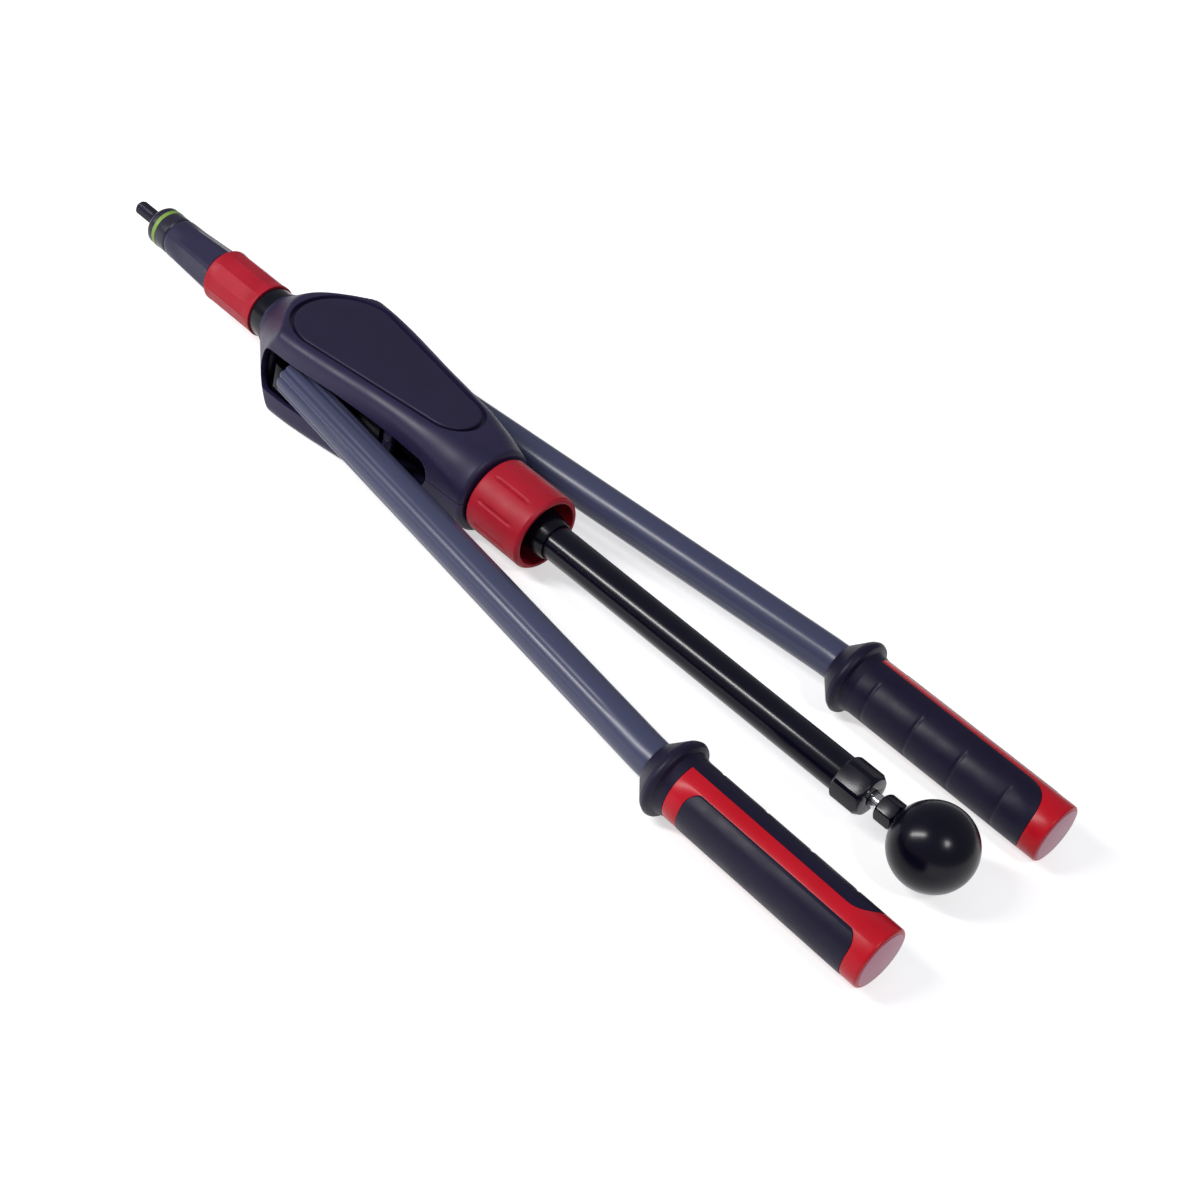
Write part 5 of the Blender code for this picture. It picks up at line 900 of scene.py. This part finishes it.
def flute_depth(s, around):
    """How deep the drawn flutes lie in an arm tube: deep at its front, shallow along it, gone before the grip."""
    front = eased(max(0.0, 1.0 - (s - TUBE_FRONT) / 110.0))
    rear = eased(min(1.0, max(0.0, (FLUTES_END - s) / 22.0)))
    depth = 0.0
    for line, width, deep, shallow in FLUTES:
        for middle in (line, -line):
            away = (math.degrees(around) - middle + 180.0) % 360.0 - 180.0
            depth += (deep * front + shallow * rear) * math.exp(-(away / width) ** 2)
    return depth


def make_arm_tube():
    """A steel tube: a ring drawn along the arm's path, with walls, drawn flutes and a bend."""
    sides = 128
    stations = [TUBE_FRONT, 11.1, 11.6] + [12.5 + 2.0 * i for i in range(50)]
    stations += [118.0, 150.0, 180.0, 220.0, 250.0] + [260.0 + 2.0 * i for i in range(13)]
    stations += [BEND_END - BEND_LENGTH + BEND_LENGTH * i / 10 for i in range(11)] + [421.0, 421.7]
    bpy.ops.object.select_all(action="DESELECT")
    bpy.ops.mesh.primitive_circle_add(vertices=sides, radius=TUBE_RADIUS * MM,
                                      rotation=(0.0, math.pi / 2, 0.0),
                                      location=(stations[0] * MM, 0.0, 0.0))
    piece = begin("arm_tube_drawn")
    for here, there in zip(stations, stations[1:]):
        centre, heading = arm_path(there)
        before, was = arm_path(here)
        bpy.ops.mesh.extrude_region_move(TRANSFORM_OT_translate={"value": (centre - before) * MM})
        if heading != was:
            bpy.ops.transform.rotate(value=-(heading - was), orient_axis="Z", center_override=centre * MM)
    bpy.ops.object.mode_set(mode="OBJECT")
    bpy.ops.object.transform_apply(location=True, rotation=True, scale=True)
    for vertex in piece.data.vertices:
        if vertex.co.x > (FLUTES_END + 1.0) * MM:
            continue
        around = math.atan2(vertex.co.z, vertex.co.y)
        radius = TUBE_RADIUS - flute_depth(vertex.co.x / MM, around)
        if vertex.co.x < 11.5 * MM:
            radius -= 0.5 * (11.6 - vertex.co.x / MM)
        vertex.co.y = radius * MM * math.cos(around)
        vertex.co.z = radius * MM * math.sin(around)
    settle(piece)
    only(piece)
    wall = piece.modifiers.new("wall", "SOLIDIFY")
    wall.thickness = TUBE_WALL * MM
    wall.offset = -1.0
    bpy.ops.object.modifier_apply(modifier=wall.name)
    bpy.ops.object.shade_smooth_by_angle(angle=math.radians(35.0))
    return moved(piece, arm_line())


def grip_blank(name, radius, front, rear, grooved=False):
    """The grip's outer form as one turned body in its own frame, with the flange at station 0."""
    outline = [(-10.0, 9.75), (-10.0, 10.9, 0.4), (-2.5, 18.3, 3.0), (0.1, FLANGE_RADIUS, 2.2), (2.1, 18.6, 1.2),
               (3.1, 16.0, 0.8), (7.2, radius, 2.5)]
    if front > 0.0:
        outline = [(front, 9.75), (front, radius)]
    stations = []
    for middle in GROOVES:
        stations += [middle + step * 0.4 for step in range(-4, 5)]
    stations += [24.0, 32.0, 49.0, 57.0, 74.0, 82.0]
    if grooved:
        outline += [(s, radius) for s in sorted(stations)]
    outline += [(rear, radius, 1.3 if rear > 110.0 else 0.0), (rear, 9.75 if rear < 110.0 else 0.0)]
    if rear > 110.0:
        outline += [(107.5, 0.0), (107.5, 9.75)]
    scaled = [tuple(value * MM for value in point) for point in outline]
    return turned(name, scaled, centre=ORIGIN)


def region(name, outline, low, high, plane="XY"):
    """A cutter in the grip's own frame, with its outline and heights in mm."""
    return outlined(name, [(x * MM, y * MM) for x, y in outline], low * MM, high * MM, plane, centre=ORIGIN)


def outer_half(gap):
    """The plan of the red frame: the outer half, swelling round the grip at its end."""
    points = [(7.35 + gap, 40.0), (7.35 + gap, gap), (94.0, gap)]
    for i in range(1, 13):
        angle = math.radians(90.0 * i / 12)
        points.append((94.0 + 13.2 * math.sin(angle) + gap * math.sin(angle),
                       gap * math.cos(angle) - 17.0 * (1.0 - math.cos(angle))))
    points += [(107.2 + gap, -40.0), (140.0, -40.0), (140.0, 40.0)]
    return points


def window(grow):
    """The rounded window in the red frame that holds the pad."""
    low, high, half, corner = 15.5 - grow, 107.5 + grow, 13.08 + grow, 5.0 + grow
    points = []
    for x, z, start in ((high - corner, half - corner, 0), (low + corner, half - corner, 90),
                        (low + corner, -half + corner, 180), (high - corner, -half + corner, 270)):
        for i in range(9):
            angle = math.radians(start + 90.0 * i / 8)
            points.append((x + corner * math.cos(angle), z + corner * math.sin(angle)))
    return points


def make_grip():
    """The three mouldings of the right grip and its end disc, in the grip's own frame."""
    sleeve = grip_blank("right_grip_sleeve_moulding", GRIP_RADIUS, -10.0, 107.2, True)

    def finger(station, angle, radius):
        """Four finger grooves round the inner side."""
        if radius < 14.0 * MM or station < 8.0 * MM:
            return 0.0
        inner = abs(abs(math.degrees(angle)) - 180.0)
        around = min(1.0, max(0.0, (50.0 - inner) / 8.0))
        depth = 0.0
        for middle in GROOVES:
            near = max(0.0, 1.0 - abs(station / MM - middle) / GROOVE_HALF_WIDTH)
            depth = max(depth, GROOVE_DEPTH * MM * eased(near))
        return depth * around

    pressed(sleeve, finger, centre=ORIGIN)
    combined(sleeve, region("sleeve_cut", outer_half(-0.12), -40.0, 40.0))
    edged(sleeve, 0.3 * MM, 2, 40.0)

    red = grip_blank("right_grip_frame_moulding", GRIP_RADIUS, 7.35, 116.2)
    combined(red, region("frame_keep", outer_half(0.12), -40.0, 40.0), "INTERSECT")
    combined(red, region("frame_window", window(0.15), 2.0, 40.0, "XZ"))
    edged(red, 0.35 * MM, 2, 40.0)

    pad = grip_blank("right_grip_pad_moulding", 15.1, 7.35, 109.0)
    core = turned("pad_core", [(0.0, 0.0), (0.0, 12.4 * MM), (130.0 * MM, 12.4 * MM), (130.0 * MM, 0.0)],
                  centre=ORIGIN, closed=False)
    combined(pad, core)
    combined(pad, region("pad_keep", window(-0.05), 2.0, 40.0, "XZ"), "INTERSECT")
    edged(pad, 0.45 * MM, 3, 40.0)

    disc = turned("right_grip_end_disc", [(115.6 * MM, 0.0), (115.6 * MM, 13.2 * MM),
                                          (116.5 * MM, 13.2 * MM, 0.3 * MM), (116.5 * MM, 0.0)],
                  centre=ORIGIN, closed=False)
    return sleeve, red, pad, disc


def make_arms():
    """Tube and grip for the right arm, and their mirrored copies for the left."""
    tube = make_arm_tube()
    tube.name = "right_arm_tube_drawn"
    centre, heading = arm_path(FLANGE_STATION)
    outward_roll = Matrix.Rotation(GRIP_ROLL, 4, "X")
    grip_line = arm_line() @ Matrix.Translation(centre * MM) @ Matrix.Rotation(heading, 4, "Z") @ outward_roll
    sleeve, red, pad, disc = (moved(piece, grip_line) for piece in make_grip())
    for piece, part, slot in ((tube, "arm_tube", "arm_paint"), (sleeve, "grip_sleeve", "grip_rubber"),
                              (red, "grip_frame", "grip_red"), (pad, "grip_pad", "grip_rubber"),
                              (disc, "", "grip_red")):
        copy = mirrored(piece, piece.name.replace("right", "left"))
        dress(piece, "right_arm", slot, *(["right_" + part] if part else []))
        dress(copy, "left_arm", slot, *(["left_" + part] if part else []))
        # The end discs take the pale mauve, a painted reflection of the glare on the red grip ends
        if piece is disc:
            piece.data.materials[0] = FINISH["end_painted_reflection"]
            copy.data.materials[0] = FINISH["end_painted_reflection"]


make_camera()
make_studio()
make_nose()
make_housing()
make_rear()
make_arms()

# CAD nodes that keep their shape and get rounded edges: node, body, finish
KEPT = (("rack_sleeve", "nose_slide", "plain_steel"), ("nose_holder", "nose_slide", "black_steel"),
        ("front_bush", "housing", "bronze"), ("upper_frame_plate", "housing", "cast_aluminium"),
        ("lower_frame_plate", "housing", "cast_aluminium"), ("core_barrel", "housing", "cast_aluminium"),
        ("ring_clip", "housing", "black_steel"), ("left_pivot_pin", "housing", "bright_steel"),
        ("right_pivot_pin", "housing", "bright_steel"), ("left_lever", "left_arm", "plain_steel"),
        ("right_lever", "right_arm", "plain_steel"), ("spiral_rod", "ball_rod", "bright_steel"))
for node, body, slot in KEPT:
    piece = refined(node, body, slot)
    if node == "core_barrel":
        taper_boss(piece)

# The other CAD nodes get the finish that their slot names
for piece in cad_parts.values():
    for holder in piece.material_slots:
        name = holder.material.name.split(".")[0] if holder.material else "plain_steel"
        holder.material = FINISH.get(name, FINISH["plain_steel"])
